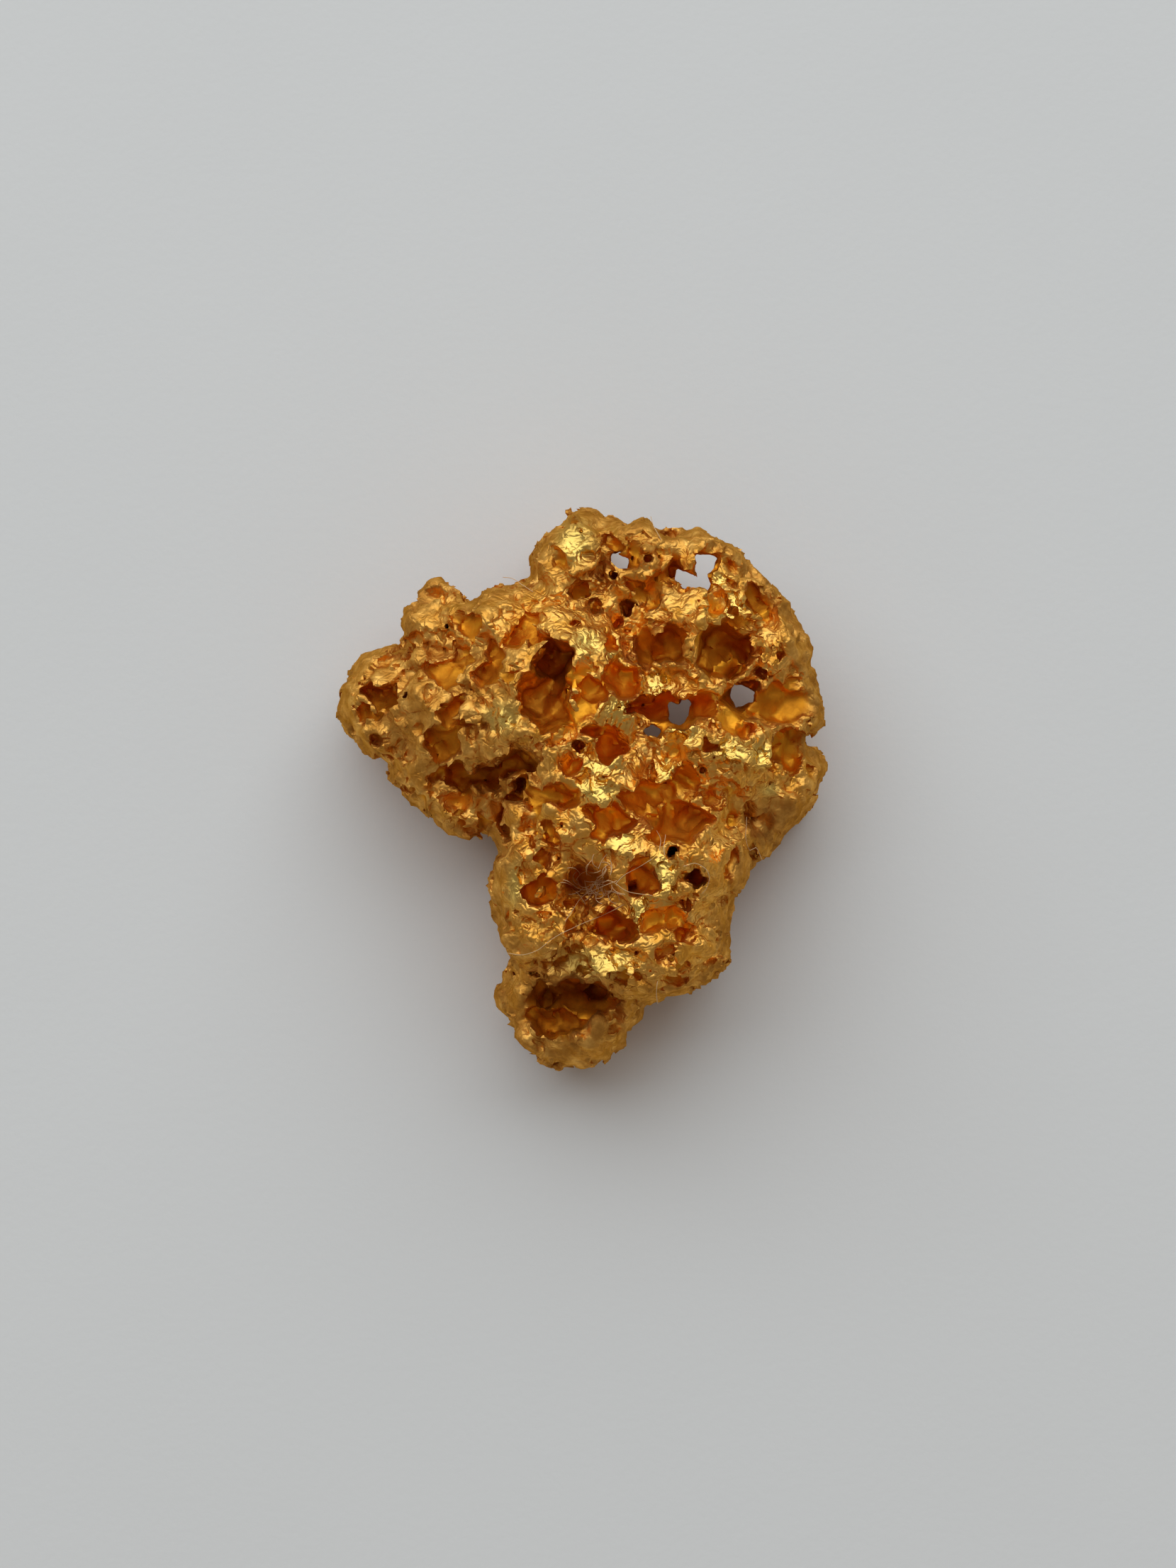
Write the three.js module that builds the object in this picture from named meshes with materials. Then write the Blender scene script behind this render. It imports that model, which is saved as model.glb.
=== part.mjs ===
// Gold nugget, 24 x 28 mm in plan and 13 mm high, in millimetres with +Z up.
// It is one lump of native gold. It lies on four small flats at z = 0, with the origin
// below the middle of its plan, +X to its right and +Y to its top as seen from above.
import * as THREE from 'three';

// Driving sizes
const planSize = [24, 28];
const height = 13.0;
const widestHeight = 4.5;
const flarePerMm = 0.0067;
const leanPerMm = 0.087;
const planMiddle = [0.33, 0.14];
const lumpBlend = 0.8;
const rimBlend = 0.5;
const edgeBlend = 0.3;
const wallTaper = 0.18;
const gridLow = [-13.2, -15.2];
const gridSize = [26.6, 30.6];
const cell = 0.73;
const flatSnap = 0.3;
const gold = 0xd9a441;

// Widest outline, clockwise from the left tip, as plan points joined by a smooth curve
const outlinePoints = [
  [-12.04, 3.85], [-11.55, 5.6], [-10.85, 6.5], [-9.6, 6.9], [-8.7, 6.9], [-8.8, 8.2],
  [-8.6, 8.9], [-7.7, 9.2], [-8.1, 9.5], [-7.7, 10.15], [-7.0, 10.3], [-6.0, 9.8],
  [-5.6, 9.0], [-5.1, 9.5], [-4.2, 9.9], [-3.3, 10.1], [-2.45, 10.4], [-2.3, 11.4],
  [-1.75, 12.4], [-0.8, 12.9], [-0.6, 13.7], [0.4, 13.9], [1.05, 13.5], [1.75, 13.4],
  [2.3, 12.95], [3.15, 13.2], [4.4, 12.6], [5.7, 12.8], [6.65, 12.4], [7.9, 11.7],
  [8.4, 10.85], [9.45, 9.8], [10.5, 8.6], [11.2, 6.7], [10.95, 6.2], [11.55, 5.4],
  [11.8, 3.85], [11.75, 2.7], [11.1, 2.4], [11.7, 1.75], [12.0, 1.2], [11.8, 0.2],
  [11.4, -0.7], [10.7, -1.6], [9.8, -2.45], [9.3, -3.3], [8.4, -3.8], [8.1, -3.7],
  [8.05, -4.2], [7.9, -4.9], [7.5, -6.1], [7.3, -6.8], [7.35, -8.2], [6.8, -9.1],
  [6.3, -9.45], [5.1, -10.15], [4.0, -10.3], [3.0, -10.7], [2.9, -11.2], [2.45, -12.25],
  [1.75, -13.3], [0.7, -13.9], [-0.7, -13.75], [-1.75, -13.3], [-2.6, -12.7], [-3.15, -12.1],
  [-3.7, -11.2], [-4.1, -10.2], [-3.85, -9.7], [-3.8, -8.75], [-3.4, -8.4], [-3.9, -7.5],
  [-4.0, -6.5], [-4.4, -5.6], [-4.5, -4.9], [-4.3, -4.0], [-3.9, -3.3], [-4.0, -2.8],
  [-4.55, -2.45], [-5.25, -2.2], [-5.95, -2.45], [-6.8, -2.1], [-7.35, -1.4], [-8.75, -0.35],
  [-9.45, 0.4], [-9.6, 1.2], [-10.5, 1.75], [-11.2, 2.45], [-11.7, 3.0],
];

// Lumps that the nugget is made of: middle x, y, z and half sizes x, y, z
const lumps = [
  // Left lobe and its knob
  [-9.3, 3.9, 4.4, 3.0, 3.2, 3.9],
  [-7.6, 7.9, 5.4, 1.5, 1.6, 2.4],
  [-7.0, 9.4, 5.0, 1.25, 1.2, 1.6],
  [-4.2, 7.8, 6.0, 2.8, 2.6, 4.3],
  [-6.3, 3.6, 5.1, 3.6, 3.9, 5.5],
  [-7.0, 0.8, 4.5, 2.9, 2.8, 3.6],
  [-5.0, -0.3, 4.8, 2.6, 2.6, 3.5],
  // Middle
  [-1.0, 4.5, 7.0, 5.2, 5.2, 5.6],
  [0.5, -0.5, 7.0, 4.2, 4.2, 5.5],
  [5.4, 7.3, 7.2, 3.4, 3.2, 4.1],
  [5.8, 2.2, 7.0, 3.6, 3.8, 4.8],
  // Top lobe and the arch round to the right
  [-0.4, 11.0, 4.8, 2.4, 3.2, 5.1],
  [3.0, 11.1, 7.2, 2.7, 2.5, 3.0],
  [5.8, 10.7, 7.4, 2.6, 2.4, 2.6],
  [8.2, 9.2, 6.8, 2.4, 2.5, 2.8],
  [9.6, 6.9, 5.8, 2.1, 2.6, 3.2],
  [9.4, 4.2, 5.0, 2.8, 2.7, 3.7],
  // Smooth lobe low on the right
  [9.4, 0.3, 3.5, 2.9, 3.0, 3.9],
  [8.6, -2.0, 3.7, 1.9, 2.0, 2.7],
  // Arm and bottom lobe
  [4.0, -3.3, 6.8, 4.4, 4.0, 5.6],
  [3.4, -7.0, 6.0, 4.2, 3.7, 5.2],
  [-2.1, -4.2, 6.0, 2.7, 2.9, 4.4],
  [-1.8, -7.0, 5.3, 2.5, 2.3, 4.5],
  [5.8, -8.2, 4.8, 1.9, 1.9, 3.6],
  [-0.7, -10.9, 3.5, 3.6, 3.15, 3.9],
];

// Raised lands: plan place, half sizes, turn in degrees, height above the lumps
const lands = [
  [1.8, 3.7, 0.9, 0.8, 0, 0.4],
  [-1.9, 2.6, 0.7, 0.5, 0, 0.5],
  [0.7, -0.45, 1.2, 0.65, 0, 0.5],
  [1.9, -2.75, 0.6, 0.5, 0, 0.5],
  [4.0, -4.5, 0.5, 0.85, 0, 0.5],
  [-2.6, -2.0, 0.6, 1.0, -20, 0.5],
  [-2.1, -6.35, 1.4, 0.5, -24, 0.4],
  [0.6, -8.7, 1.9, 0.5, -3, 0.5],
  [3.4, -9.4, 0.9, 0.6, 0, 0.4],
  [7.5, 1.7, 0.8, 0.5, -10, 0.4],
  [-2.2, 9.3, 1.2, 0.6, 0, 0.3],
  [3.0, 1.7, 0.9, 0.7, 0, 0.3],
  [7.2, 9.0, 0.7, 0.65, 0, 0.3],
  [5.6, 7.0, 0.5, 1.3, 0, 0.5],
];

// Angular hollows left by crystals: plan place, half sizes, turn in degrees, depth
const hollows = [
  [-1.6, 4.95, 1.05, 2.05, -10, 3.6],
  [-9.8, 4.3, 0.9, 0.75, 10, 1.8],
  [-6.9, 5.6, 1.0, 0.55, 0, 1.0],
  [-2.8, 7.6, 0.7, 0.65, 0, 1.6],
  [0.6, 4.7, 0.6, 0.6, 0, 1.2],
  [1.65, 12.0, 0.65, 0.6, 0, 1.0],
  [3.9, 6.9, 1.25, 1.05, 0, 1.7],
  [7.0, 6.6, 1.4, 1.6, 0, 2.4],
  [2.0, 5.2, 0.8, 0.6, 0, 1.2],
  [4.6, 3.6, 1.9, 0.75, 0, 1.8],
  [1.4, 1.9, 0.7, 0.6, 0, 1.6],
  [8.8, 9.0, 0.7, 0.7, 30, 1.8],
  [9.9, 4.0, 1.6, 1.0, 0, 1.5],
  [8.0, 4.45, 0.9, 0.85, 0, 2.2],
  [10.4, 1.6, 0.95, 0.65, 0, 1.0],
  [-6.9, 2.8, 0.7, 1.1, 0, 1.2],
  [-4.4, 0.8, 2.2, 0.7, 6, 2.2],
  [-2.9, 0.1, 1.1, 0.8, 0, 2.0],
  [-3.4, -0.8, 0.6, 0.6, 0, 1.8],
  [-1.9, -0.65, 1.5, 0.5, 0, 2.2],
  [-3.7, -2.0, 0.45, 0.8, -15, 1.6],
  [-1.5, -2.4, 0.5, 0.95, 28, 1.6],
  [-1.9, -5.2, 0.65, 0.65, 0, 1.3],
  [0.4, -4.7, 1.2, 0.75, 0, 0.9],
  [0.1, -6.5, 0.7, 0.5, 0, 1.0],
  [1.5, -7.1, 0.75, 0.6, -10, 2.0],
  [2.8, -4.8, 0.75, 0.6, -10, 1.3],
  [5.0, -1.8, 1.1, 0.9, 35, 1.9],
  [3.4, -0.55, 1.0, 0.6, 0, 1.3],
  [1.5, -1.9, 0.8, 0.5, -20, 1.2],
  [5.6, -4.5, 0.6, 0.6, 0, 2.6],
  [-0.2, -10.6, 1.9, 1.2, 0, 1.3],
  [-1.0, -10.4, 0.9, 0.8, 0, 2.1],
  [0.9, -10.4, 0.75, 0.75, 0, 2.0],
  [-0.9, -11.7, 1.5, 0.6, 0, 1.6],
];

// Openings right through: plan place, half sizes, turn in degrees
const openings = [
  [6.1, 10.6, 0.45, 0.95, 4],
  [1.9, 11.3, 0.55, 0.5, -15],
  [7.95, 4.4, 0.55, 0.55, 20],
];

// Hollows under the nugget and round its sides, spread evenly by irrational steps
const underHollows = 90;
const underStepX = 0.7548777;
const underStepY = 0.5698403;
const underRimMargin = 1.3;
const restMargin = 2.4;
const restPlaces = [[-6.3, 3.4], [-0.3, 10.9], [9.3, 0.5], [-0.8, -10.8]];
const hiddenLongStep = 0.618;
const hiddenShortStep = 0.382;
const hiddenTurn = 40;
const sideStep = 2.3;
const sideHollowLow = 1.6;
const sideHollowRise = 1.5;
const sideHollowInset = 0.97;
const openingFlare = 0.12;

// Waves that keep the surface uneven: size and how many radians it turns in a millimetre
const broadSwell = 0.3;
const narrowSwell = 0.1;
const rimDraw = 0.18;
const rimAllowance = 0.1;
const plotWarp = 0.13;
const plotCorner = 0.35;
const steepestPlot = 0.8;
const landSlopeShare = 0.8;
const hollowSlopeShare = 0.5;
const landThickness = 1.5;
const deepestHollow = 6;
const plotReach = 0.5;
const surfaceStep = 0.05;

const fraction = (value) => value - Math.floor(value);
const clamp = THREE.MathUtils.clamp;

function smoothMin(a, b, blend) {
  const share = clamp(0.5 + 0.5 * (b - a) / blend, 0, 1);
  return b + (a - b) * share - blend * share * (1 - share);
}

function smoothMax(a, b, blend) {
  return -smoothMin(-a, -b, blend);
}

// Lists hold places at the widest height. Above it the forms spread and lean towards +Y.
function planPlace(x, y, z) {
  const rise = z - widestHeight;
  const spread = 1 + flarePerMm * rise;
  return [
    (x - planMiddle[0]) * spread + planMiddle[0],
    (y - planMiddle[1]) * spread + planMiddle[1] + leanPerMm * rise,
  ];
}

function lumpDistance(x, y, z, [cx, cy, cz, rx, ry, rz]) {
  const dx = (x - cx) / rx;
  const dy = (y - cy) / ry;
  const dz = (z - cz) / rz;
  const far = Math.hypot(dx, dy, dz);
  const slope = Math.hypot(dx / rx, dy / ry, dz / rz);
  return far * (far - 1) / Math.max(slope, 1e-6);
}

function lumpsAt(x, y, z) {
  return lumps.reduce((value, lump) => smoothMin(value, lumpDistance(x, y, z, lump), lumpBlend), 50);
}

// Low swells that keep the sides and the underside from being smooth
function swell(x, y, z) {
  const broad = Math.sin(1.7 * x + 0.4) * Math.sin(1.9 * y + 1.1) * Math.sin(1.6 * z + 0.7);
  const narrow = Math.sin(3.7 * x + 1.9 * z) * Math.sin(3.3 * y - 1.7 * z + 0.6);
  return broadSwell * broad + narrowSwell * narrow;
}

// Distance to the outline in plan, negative inside
const outlineCurve = new THREE.CatmullRomCurve3(
  outlinePoints.map(([x, y]) => new THREE.Vector3(x, y, 0)), true, 'catmullrom', 0.5);
const outline = outlineCurve.getPoints(outlinePoints.length * 4).slice(0, -1);

function outlineDistance(x, y) {
  let nearest = Infinity;
  let inside = false;
  outline.forEach((a, index) => {
    const b = outline[(index + 1) % outline.length];
    const ex = b.x - a.x;
    const ey = b.y - a.y;
    const along = clamp(((x - a.x) * ex + (y - a.y) * ey) / (ex * ex + ey * ey), 0, 1);
    nearest = Math.min(nearest, Math.hypot(x - a.x - along * ex, y - a.y - along * ey));
    if ((a.y > y) !== (b.y > y) && x < a.x + (y - a.y) / ey * ex) {
      inside = !inside;
    }
  });
  return inside ? -nearest : nearest;
}

// The rim draws in and out with height, and reaches the outline on every side
function rimAt(x, y, z) {
  const wave = 2.1 * z + 1.5 * Math.sin(0.9 * x) + 1.7 * Math.sin(0.8 * y);
  return outlineDistance(x, y) - rimAllowance + rimDraw * (1 - Math.cos(wave));
}

function bodyAt(x, y, z) {
  return smoothMax(lumpsAt(x, y, z) + swell(x, y, z), rimAt(x, y, z), rimBlend);
}

// First solid height met on the way down or up at a plan place
function surfaceHeight(x, y, from, step) {
  let z = from;
  while (lumpsAt(x, y, z) > 0 && z > -1 && z < height + 1) {
    z += step;
  }
  return z;
}

const topAt = (x, y) => surfaceHeight(x, y, height, -surfaceStep);
const underAt = (x, y) => surfaceHeight(x, y, 0, surfaceStep);

// Rounded box in plan, with its sides made uneven
function plotDistance(x, y, z, [cx, cy, halfX, halfY, turn]) {
  const ux = x + plotWarp * Math.sin(3.9 * y + 0.9 * z + 1.3);
  const uy = y + plotWarp * Math.sin(4.3 * x - 0.8 * z + 0.4);
  const angle = THREE.MathUtils.degToRad(turn);
  const along = (ux - cx) * Math.cos(angle) + (uy - cy) * Math.sin(angle);
  const across = (uy - cy) * Math.cos(angle) - (ux - cx) * Math.sin(angle);
  const round = plotCorner * Math.min(halfX, halfY);
  const qx = Math.abs(along) - halfX + round;
  const qy = Math.abs(across) - halfY + round;
  return Math.hypot(Math.max(qx, 0), Math.max(qy, 0)) + Math.min(Math.max(qx, qy), 0) - round;
}

// Plane that follows a share of the surface's slope at a plot
function plotPlane(spot, share, heightAt) {
  const [x, y] = spot;
  const slope = (low, high) => share * clamp((high - low) / (2 * plotReach), -steepestPlot, steepestPlot);
  const slopeX = slope(heightAt(x - plotReach, y), heightAt(x + plotReach, y));
  const slopeY = slope(heightAt(x, y - plotReach), heightAt(x, y + plotReach));
  const z = heightAt(x, y);
  return (px, py) => z + slopeX * (px - x) + slopeY * (py - y);
}

function raiseLand(spot) {
  const plane = plotPlane(spot, landSlopeShare, topAt);
  return (value, x, y, z) => {
    const roof = z - plane(x, y) - spot[5];
    const block = Math.max(plotDistance(x, y, z, spot), roof, -roof - landThickness - spot[5]);
    return smoothMin(value, block, edgeBlend);
  };
}

function sinkHollow(spot) {
  const plane = plotPlane(spot, hollowSlopeShare, topAt);
  return (value, x, y, z) => {
    const aboveFloor = z - plane(x, y) + spot[5];
    const wall = plotDistance(x, y, z, spot) + wallTaper * clamp(spot[5] - aboveFloor, 0, deepestHollow);
    return smoothMax(value, Math.min(-wall, aboveFloor), edgeBlend);
  };
}

function sinkUnderHollow(spot) {
  const plane = plotPlane(spot, hollowSlopeShare, underAt);
  return (value, x, y, z) => {
    const belowRoof = plane(x, y) + spot[5] - z;
    return smoothMax(value, Math.min(-plotDistance(x, y, z, spot), belowRoof), edgeBlend);
  };
}

// An opening widens on its way down
function cutOpening(spot) {
  const plane = plotPlane(spot, hollowSlopeShare, topAt);
  return (value, x, y, z) => {
    const flare = openingFlare * clamp(plane(x, y) - z - 1, 0, deepestHollow);
    return smoothMax(value, flare - plotDistance(x, y, z, spot), edgeBlend);
  };
}

function sinkSideHollow([cx, cy, cz, radius]) {
  return (value, x, y, z) => smoothMax(value, radius - Math.hypot(x - cx, y - cy, z - cz), edgeBlend);
}

// Plan places for the hollows under the nugget, clear of its rim and its four flats
function underPlaces() {
  const places = [];
  for (let index = 0; index < underHollows; index += 1) {
    const x = planSize[0] * (fraction(index * underStepX) - 0.5);
    const y = planSize[1] * (fraction(index * underStepY) - 0.5);
    const nearRest = restPlaces.some(([rx, ry]) => Math.hypot(x - rx, y - ry) < restMargin);
    if (outlineDistance(x, y) < -underRimMargin && !nearRest) {
      const size = 0.6 + 0.5 * fraction(index * hiddenLongStep);
      const depth = 0.8 + 0.8 * fraction(index * hiddenShortStep);
      places.push([x, y, size, size * 0.8, hiddenTurn * index, depth]);
    }
  }
  return places;
}

// Places for the side hollows, low on the wall all the way round
function sidePlaces() {
  const count = Math.floor(outlineCurve.getLength() / sideStep);
  return outlineCurve.getSpacedPoints(count).slice(0, -1).map((point, index) => {
    const rise = sideHollowLow + sideHollowRise * fraction(index * hiddenLongStep);
    const radius = 0.7 + 0.4 * fraction(index * hiddenShortStep);
    return [point.x * sideHollowInset, point.y * sideHollowInset, rise, radius];
  });
}

const cuts = [
  ...lands.map((spot) => ({ spot, apply: raiseLand(spot) })),
  ...hollows.map((spot) => ({ spot, apply: sinkHollow(spot) })),
  ...underPlaces().map((spot) => ({ spot, apply: sinkUnderHollow(spot) })),
  ...openings.map((spot) => ({ spot, apply: cutOpening(spot) })),
  ...sidePlaces().map((spot) => ({ spot: [spot[0], spot[1], spot[3], 0.5], apply: sinkSideHollow(spot) })),
];

// Field on a grid: negative in the gold
const start = [...gridLow, -1.5 * cell];
const counts = [...gridSize, height + 2.5].map((size) => Math.ceil(size / cell) + 1);
const strideY = counts[0];
const strideZ = counts[0] * counts[1];
const gridPlace = (i, j, k) => [start[0] + i * cell, start[1] + j * cell, start[2] + k * cell];
const gridIndex = (i, j, k) => i + j * strideY + k * strideZ;

function fillField() {
  const field = new Float64Array(strideZ * counts[2]);
  for (let k = 0; k < counts[2]; k += 1) {
    for (let j = 0; j < counts[1]; j += 1) {
      for (let i = 0; i < counts[0]; i += 1) {
        const [gx, gy, z] = gridPlace(i, j, k);
        const [x, y] = planPlace(gx, gy, z);
        let value = bodyAt(x, y, z);
        if (value < 2) {
          cuts.forEach(({ spot, apply }) => {
            if (Math.hypot(x - spot[0], y - spot[1]) < Math.hypot(spot[2], spot[3]) + 1) {
              value = apply(value, x, y, z);
            }
          });
        }
        field[gridIndex(i, j, k)] = Math.max(value, -z);
      }
    }
  }
  return field;
}

// Corner offsets of a cell, and the pairs of corners that share an edge
const corners = [0, 1, 2, 3, 4, 5, 6, 7].map((n) => [n & 1, (n >> 1) & 1, n >> 2]);
const edges = corners.flatMap((_, n) => [1, 2, 4].filter((bit) => !(n & bit)).map((bit) => [n, n | bit]));

function cornerGroups(solid, wanted) {
  const left = new Set(solid.flatMap((value, n) => (value === wanted ? [n] : [])));
  let groups = 0;
  while (left.size > 0) {
    const open = [left.values().next().value];
    left.delete(open[0]);
    while (open.length > 0) {
      const here = open.pop();
      [1, 2, 4].map((bit) => here ^ bit).filter((n) => left.has(n)).forEach((n) => {
        left.delete(n);
        open.push(n);
      });
    }
    groups += 1;
  }
  return groups;
}

// Fills corners until the surface passes each cell as one sheet, so that it closes cleanly
function clearDoubtfulCells(field) {
  const touch = 0.02;
  let changed = true;
  while (changed) {
    changed = false;
    for (let k = 0; k < counts[2] - 1; k += 1) {
      for (let j = 0; j < counts[1] - 1; j += 1) {
        for (let i = 0; i < counts[0] - 1; i += 1) {
          const places = corners.map(([a, b, c]) => gridIndex(i + a, j + b, k + c));
          const solid = places.map((place) => field[place] < 0);
          const filled = solid.filter(Boolean).length;
          if (filled > 0 && filled < 8 && (cornerGroups(solid, true) > 1 || cornerGroups(solid, false) > 1)) {
            const air = places.filter((place) => field[place] >= 0);
            const weakest = air.reduce((best, place) => (field[place] < field[best] ? place : best));
            field[weakest] = -touch;
            changed = true;
          }
        }
      }
    }
  }
}

// Marks every grid point reached from a first one through points of the same kind
function flood(field, first, solid) {
  const reached = new Uint8Array(field.length);
  const open = [first];
  reached[first] = 1;
  while (open.length > 0) {
    const here = open.pop();
    [1, -1, strideY, -strideY, strideZ, -strideZ].map((step) => here + step).forEach((next) => {
      if (next >= 0 && next < field.length && !reached[next] && (field[next] < 0) === solid) {
        reached[next] = 1;
        open.push(next);
      }
    });
  }
  return reached;
}

// Keeps one body without a closed bubble in it
function keepOneBody(field) {
  const sealed = 0.5 * cell;
  const air = flood(field, 0, false);
  field.forEach((value, place) => {
    if (value >= 0 && !air[place]) {
      field[place] = -sealed;
    }
  });
  const deepest = field.reduce((best, value, place) => (value < field[best] ? place : best), 0);
  const body = flood(field, deepest, true);
  field.forEach((value, place) => {
    if (value < 0 && !body[place]) {
      field[place] = sealed;
    }
  });
}

// One vertex in each cell that the surface passes, at the mean of its edge crossings
function cellVertex(field, i, j, k) {
  const values = corners.map(([a, b, c]) => field[gridIndex(i + a, j + b, k + c)]);
  const crossings = edges.filter(([a, b]) => (values[a] < 0) !== (values[b] < 0));
  if (crossings.length === 0) {
    return null;
  }
  const mean = new THREE.Vector3();
  crossings.forEach(([a, b]) => {
    const along = values[a] / (values[a] - values[b]);
    const from = new THREE.Vector3(...corners[a]);
    mean.add(from.lerp(new THREE.Vector3(...corners[b]), along));
  });
  mean.divideScalar(crossings.length);
  const [x, y, z] = gridPlace(i + mean.x, j + mean.y, k + mean.z);
  return [x, y, Math.abs(z) < flatSnap ? 0 : z];
}

function surfaceGeometry(field) {
  const vertexOf = new Map();
  const positions = [];
  for (let k = 0; k < counts[2] - 1; k += 1) {
    for (let j = 0; j < counts[1] - 1; j += 1) {
      for (let i = 0; i < counts[0] - 1; i += 1) {
        const vertex = cellVertex(field, i, j, k);
        if (vertex) {
          vertexOf.set(gridIndex(i, j, k), positions.length / 3);
          positions.push(...vertex);
        }
      }
    }
  }
  const point = (n) => new THREE.Vector3().fromArray(positions, n * 3);
  const faces = [];
  const addQuad = (a, b, c, d) => {
    if (point(a).distanceTo(point(c)) < point(b).distanceTo(point(d))) {
      faces.push(a, b, c, a, c, d);
    } else {
      faces.push(b, c, d, b, d, a);
    }
  };
  const turns = [[1, strideY, strideZ], [strideY, strideZ, 1], [strideZ, 1, strideY]];
  for (let place = strideZ; place < field.length - strideZ; place += 1) {
    turns.forEach(([axis, second, third]) => {
      if ((field[place] < 0) !== (field[place + axis] < 0)) {
        const ring = [place - second - third, place - third, place, place - second].map((n) => vertexOf.get(n));
        if (field[place] < 0) {
          addQuad(...ring);
        } else {
          addQuad(...ring.reverse());
        }
      }
    });
  }
  const geometry = new THREE.BufferGeometry();
  geometry.setAttribute('position', new THREE.Float32BufferAttribute(positions, 3));
  geometry.setIndex(faces);
  geometry.computeVertexNormals();
  return geometry;
}

const field = fillField();
clearDoubtfulCells(field);
keepOneBody(field);

const nugget = new THREE.Mesh(
  surfaceGeometry(field),
  new THREE.MeshStandardMaterial({ color: gold, roughness: 0.32, metalness: 1, flatShading: true }),
);
nugget.name = 'nugget';

const group = new THREE.Group();
group.add(nugget);

export default group;
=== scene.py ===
import itertools
import math

import bpy
import numpy as np
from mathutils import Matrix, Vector
from mathutils.bvhtree import BVHTree


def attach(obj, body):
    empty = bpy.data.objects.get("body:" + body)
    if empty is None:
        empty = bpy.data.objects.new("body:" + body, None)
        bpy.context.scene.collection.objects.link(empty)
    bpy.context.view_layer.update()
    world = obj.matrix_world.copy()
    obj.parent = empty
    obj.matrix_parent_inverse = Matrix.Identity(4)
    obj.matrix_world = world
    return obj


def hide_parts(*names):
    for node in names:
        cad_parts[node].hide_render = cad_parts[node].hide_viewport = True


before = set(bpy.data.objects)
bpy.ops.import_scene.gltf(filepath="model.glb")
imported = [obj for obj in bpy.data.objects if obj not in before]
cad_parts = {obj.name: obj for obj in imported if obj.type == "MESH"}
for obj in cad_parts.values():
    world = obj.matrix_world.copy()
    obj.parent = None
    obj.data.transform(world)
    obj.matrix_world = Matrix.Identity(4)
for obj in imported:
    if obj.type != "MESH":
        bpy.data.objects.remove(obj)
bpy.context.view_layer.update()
scene = bpy.context.scene
mm = 0.001
print("frame loaded")


# Nugget: its form in millimetres, in the frame's own axes

nuggetForm = {
    "height": 13.0,
    "highest": 13.05,
    "topBlend": 0.3,
    "widestHeight": 4.5,
    "flarePerMm": 0.0067,      # how much the forms draw in above the widest height
    "leanPerMm": 0.087,        # and how far they lean towards -Y, to the camera
    "planMiddle": (0.33, 0.14),
    "lumpBlend": 0.8,
    "rimBlend": 0.5,
    "edgeBlend": 0.08,
    "lipRise": 0.08,
    "lipWidth": 0.16,
    "standProud": 0.3,         # the most that lips and facets rise over lumps and lands
    "openingFlare": 0.12,
    "broadSwell": 0.3,
    "narrowSwell": 0.1,
    "rimDraw": 0.18,           # how far the rim draws in and out with height
    "rimAllowance": 0.1,
    "levelStep": 0.05,
    "gridStep": 0.13,
    "quickGridStep": 0.22,
    "low": (-13.2, -15.2, -0.6),
    "high": (13.2, 15.2, 14.2),
    "justSolid": -0.003,
    "flatSnap": 0.05,
    "floorSteepness": 70,      # so steep that no corner under the floor is ever filled
    "sharpAngle": 48,
    "triangles": 190000,
}

# Widest outline, clockwise from the left tip
outlinePoints = [
    [-12.04, 3.85], [-11.55, 5.6], [-10.85, 6.5], [-9.6, 6.9], [-8.7, 6.9], [-8.8, 8.2],
    [-8.6, 8.9], [-7.7, 9.2], [-8.1, 9.5], [-7.7, 10.15], [-7.0, 10.3], [-6.0, 9.8],
    [-5.6, 9.0], [-5.1, 9.5], [-4.2, 9.9], [-3.3, 10.1], [-2.45, 10.4], [-2.3, 11.4],
    [-1.75, 12.4], [-0.8, 12.9], [-0.6, 13.7], [0.4, 13.9], [1.05, 13.5], [1.75, 13.4],
    [2.3, 12.95], [3.15, 13.2], [4.4, 12.6], [5.7, 12.8], [6.65, 12.4], [7.9, 11.7],
    [8.4, 10.85], [9.45, 9.8], [10.5, 8.6], [11.2, 6.7], [10.95, 6.2], [11.55, 5.4],
    [11.8, 3.85], [11.75, 2.7], [11.1, 2.4], [11.7, 1.75], [12.0, 1.2], [11.8, 0.2],
    [11.4, -0.7], [10.7, -1.6], [9.8, -2.45], [9.3, -3.3], [8.4, -3.8], [8.1, -3.7],
    [8.05, -4.2], [7.9, -4.9], [7.5, -6.1], [7.3, -6.8], [7.35, -8.2], [6.8, -9.1],
    [6.3, -9.45], [5.1, -10.15], [4.0, -10.3], [3.0, -10.7], [2.9, -11.2], [2.45, -12.25],
    [1.75, -13.3], [0.7, -13.9], [-0.7, -13.75], [-1.75, -13.3], [-2.6, -12.7], [-3.15, -12.1],
    [-3.7, -11.2], [-4.1, -10.2], [-3.85, -9.7], [-3.8, -8.75], [-3.4, -8.4], [-3.9, -7.5],
    [-4.0, -6.5], [-4.4, -5.6], [-4.5, -4.9], [-4.3, -4.0], [-3.9, -3.3], [-4.0, -2.8],
    [-4.55, -2.45], [-5.25, -2.2], [-5.95, -2.45], [-6.8, -2.1], [-7.35, -1.4], [-8.75, -0.35],
    [-9.45, 0.4], [-9.6, 1.2], [-10.5, 1.75], [-11.2, 2.45], [-11.7, 3.0],
]

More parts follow.
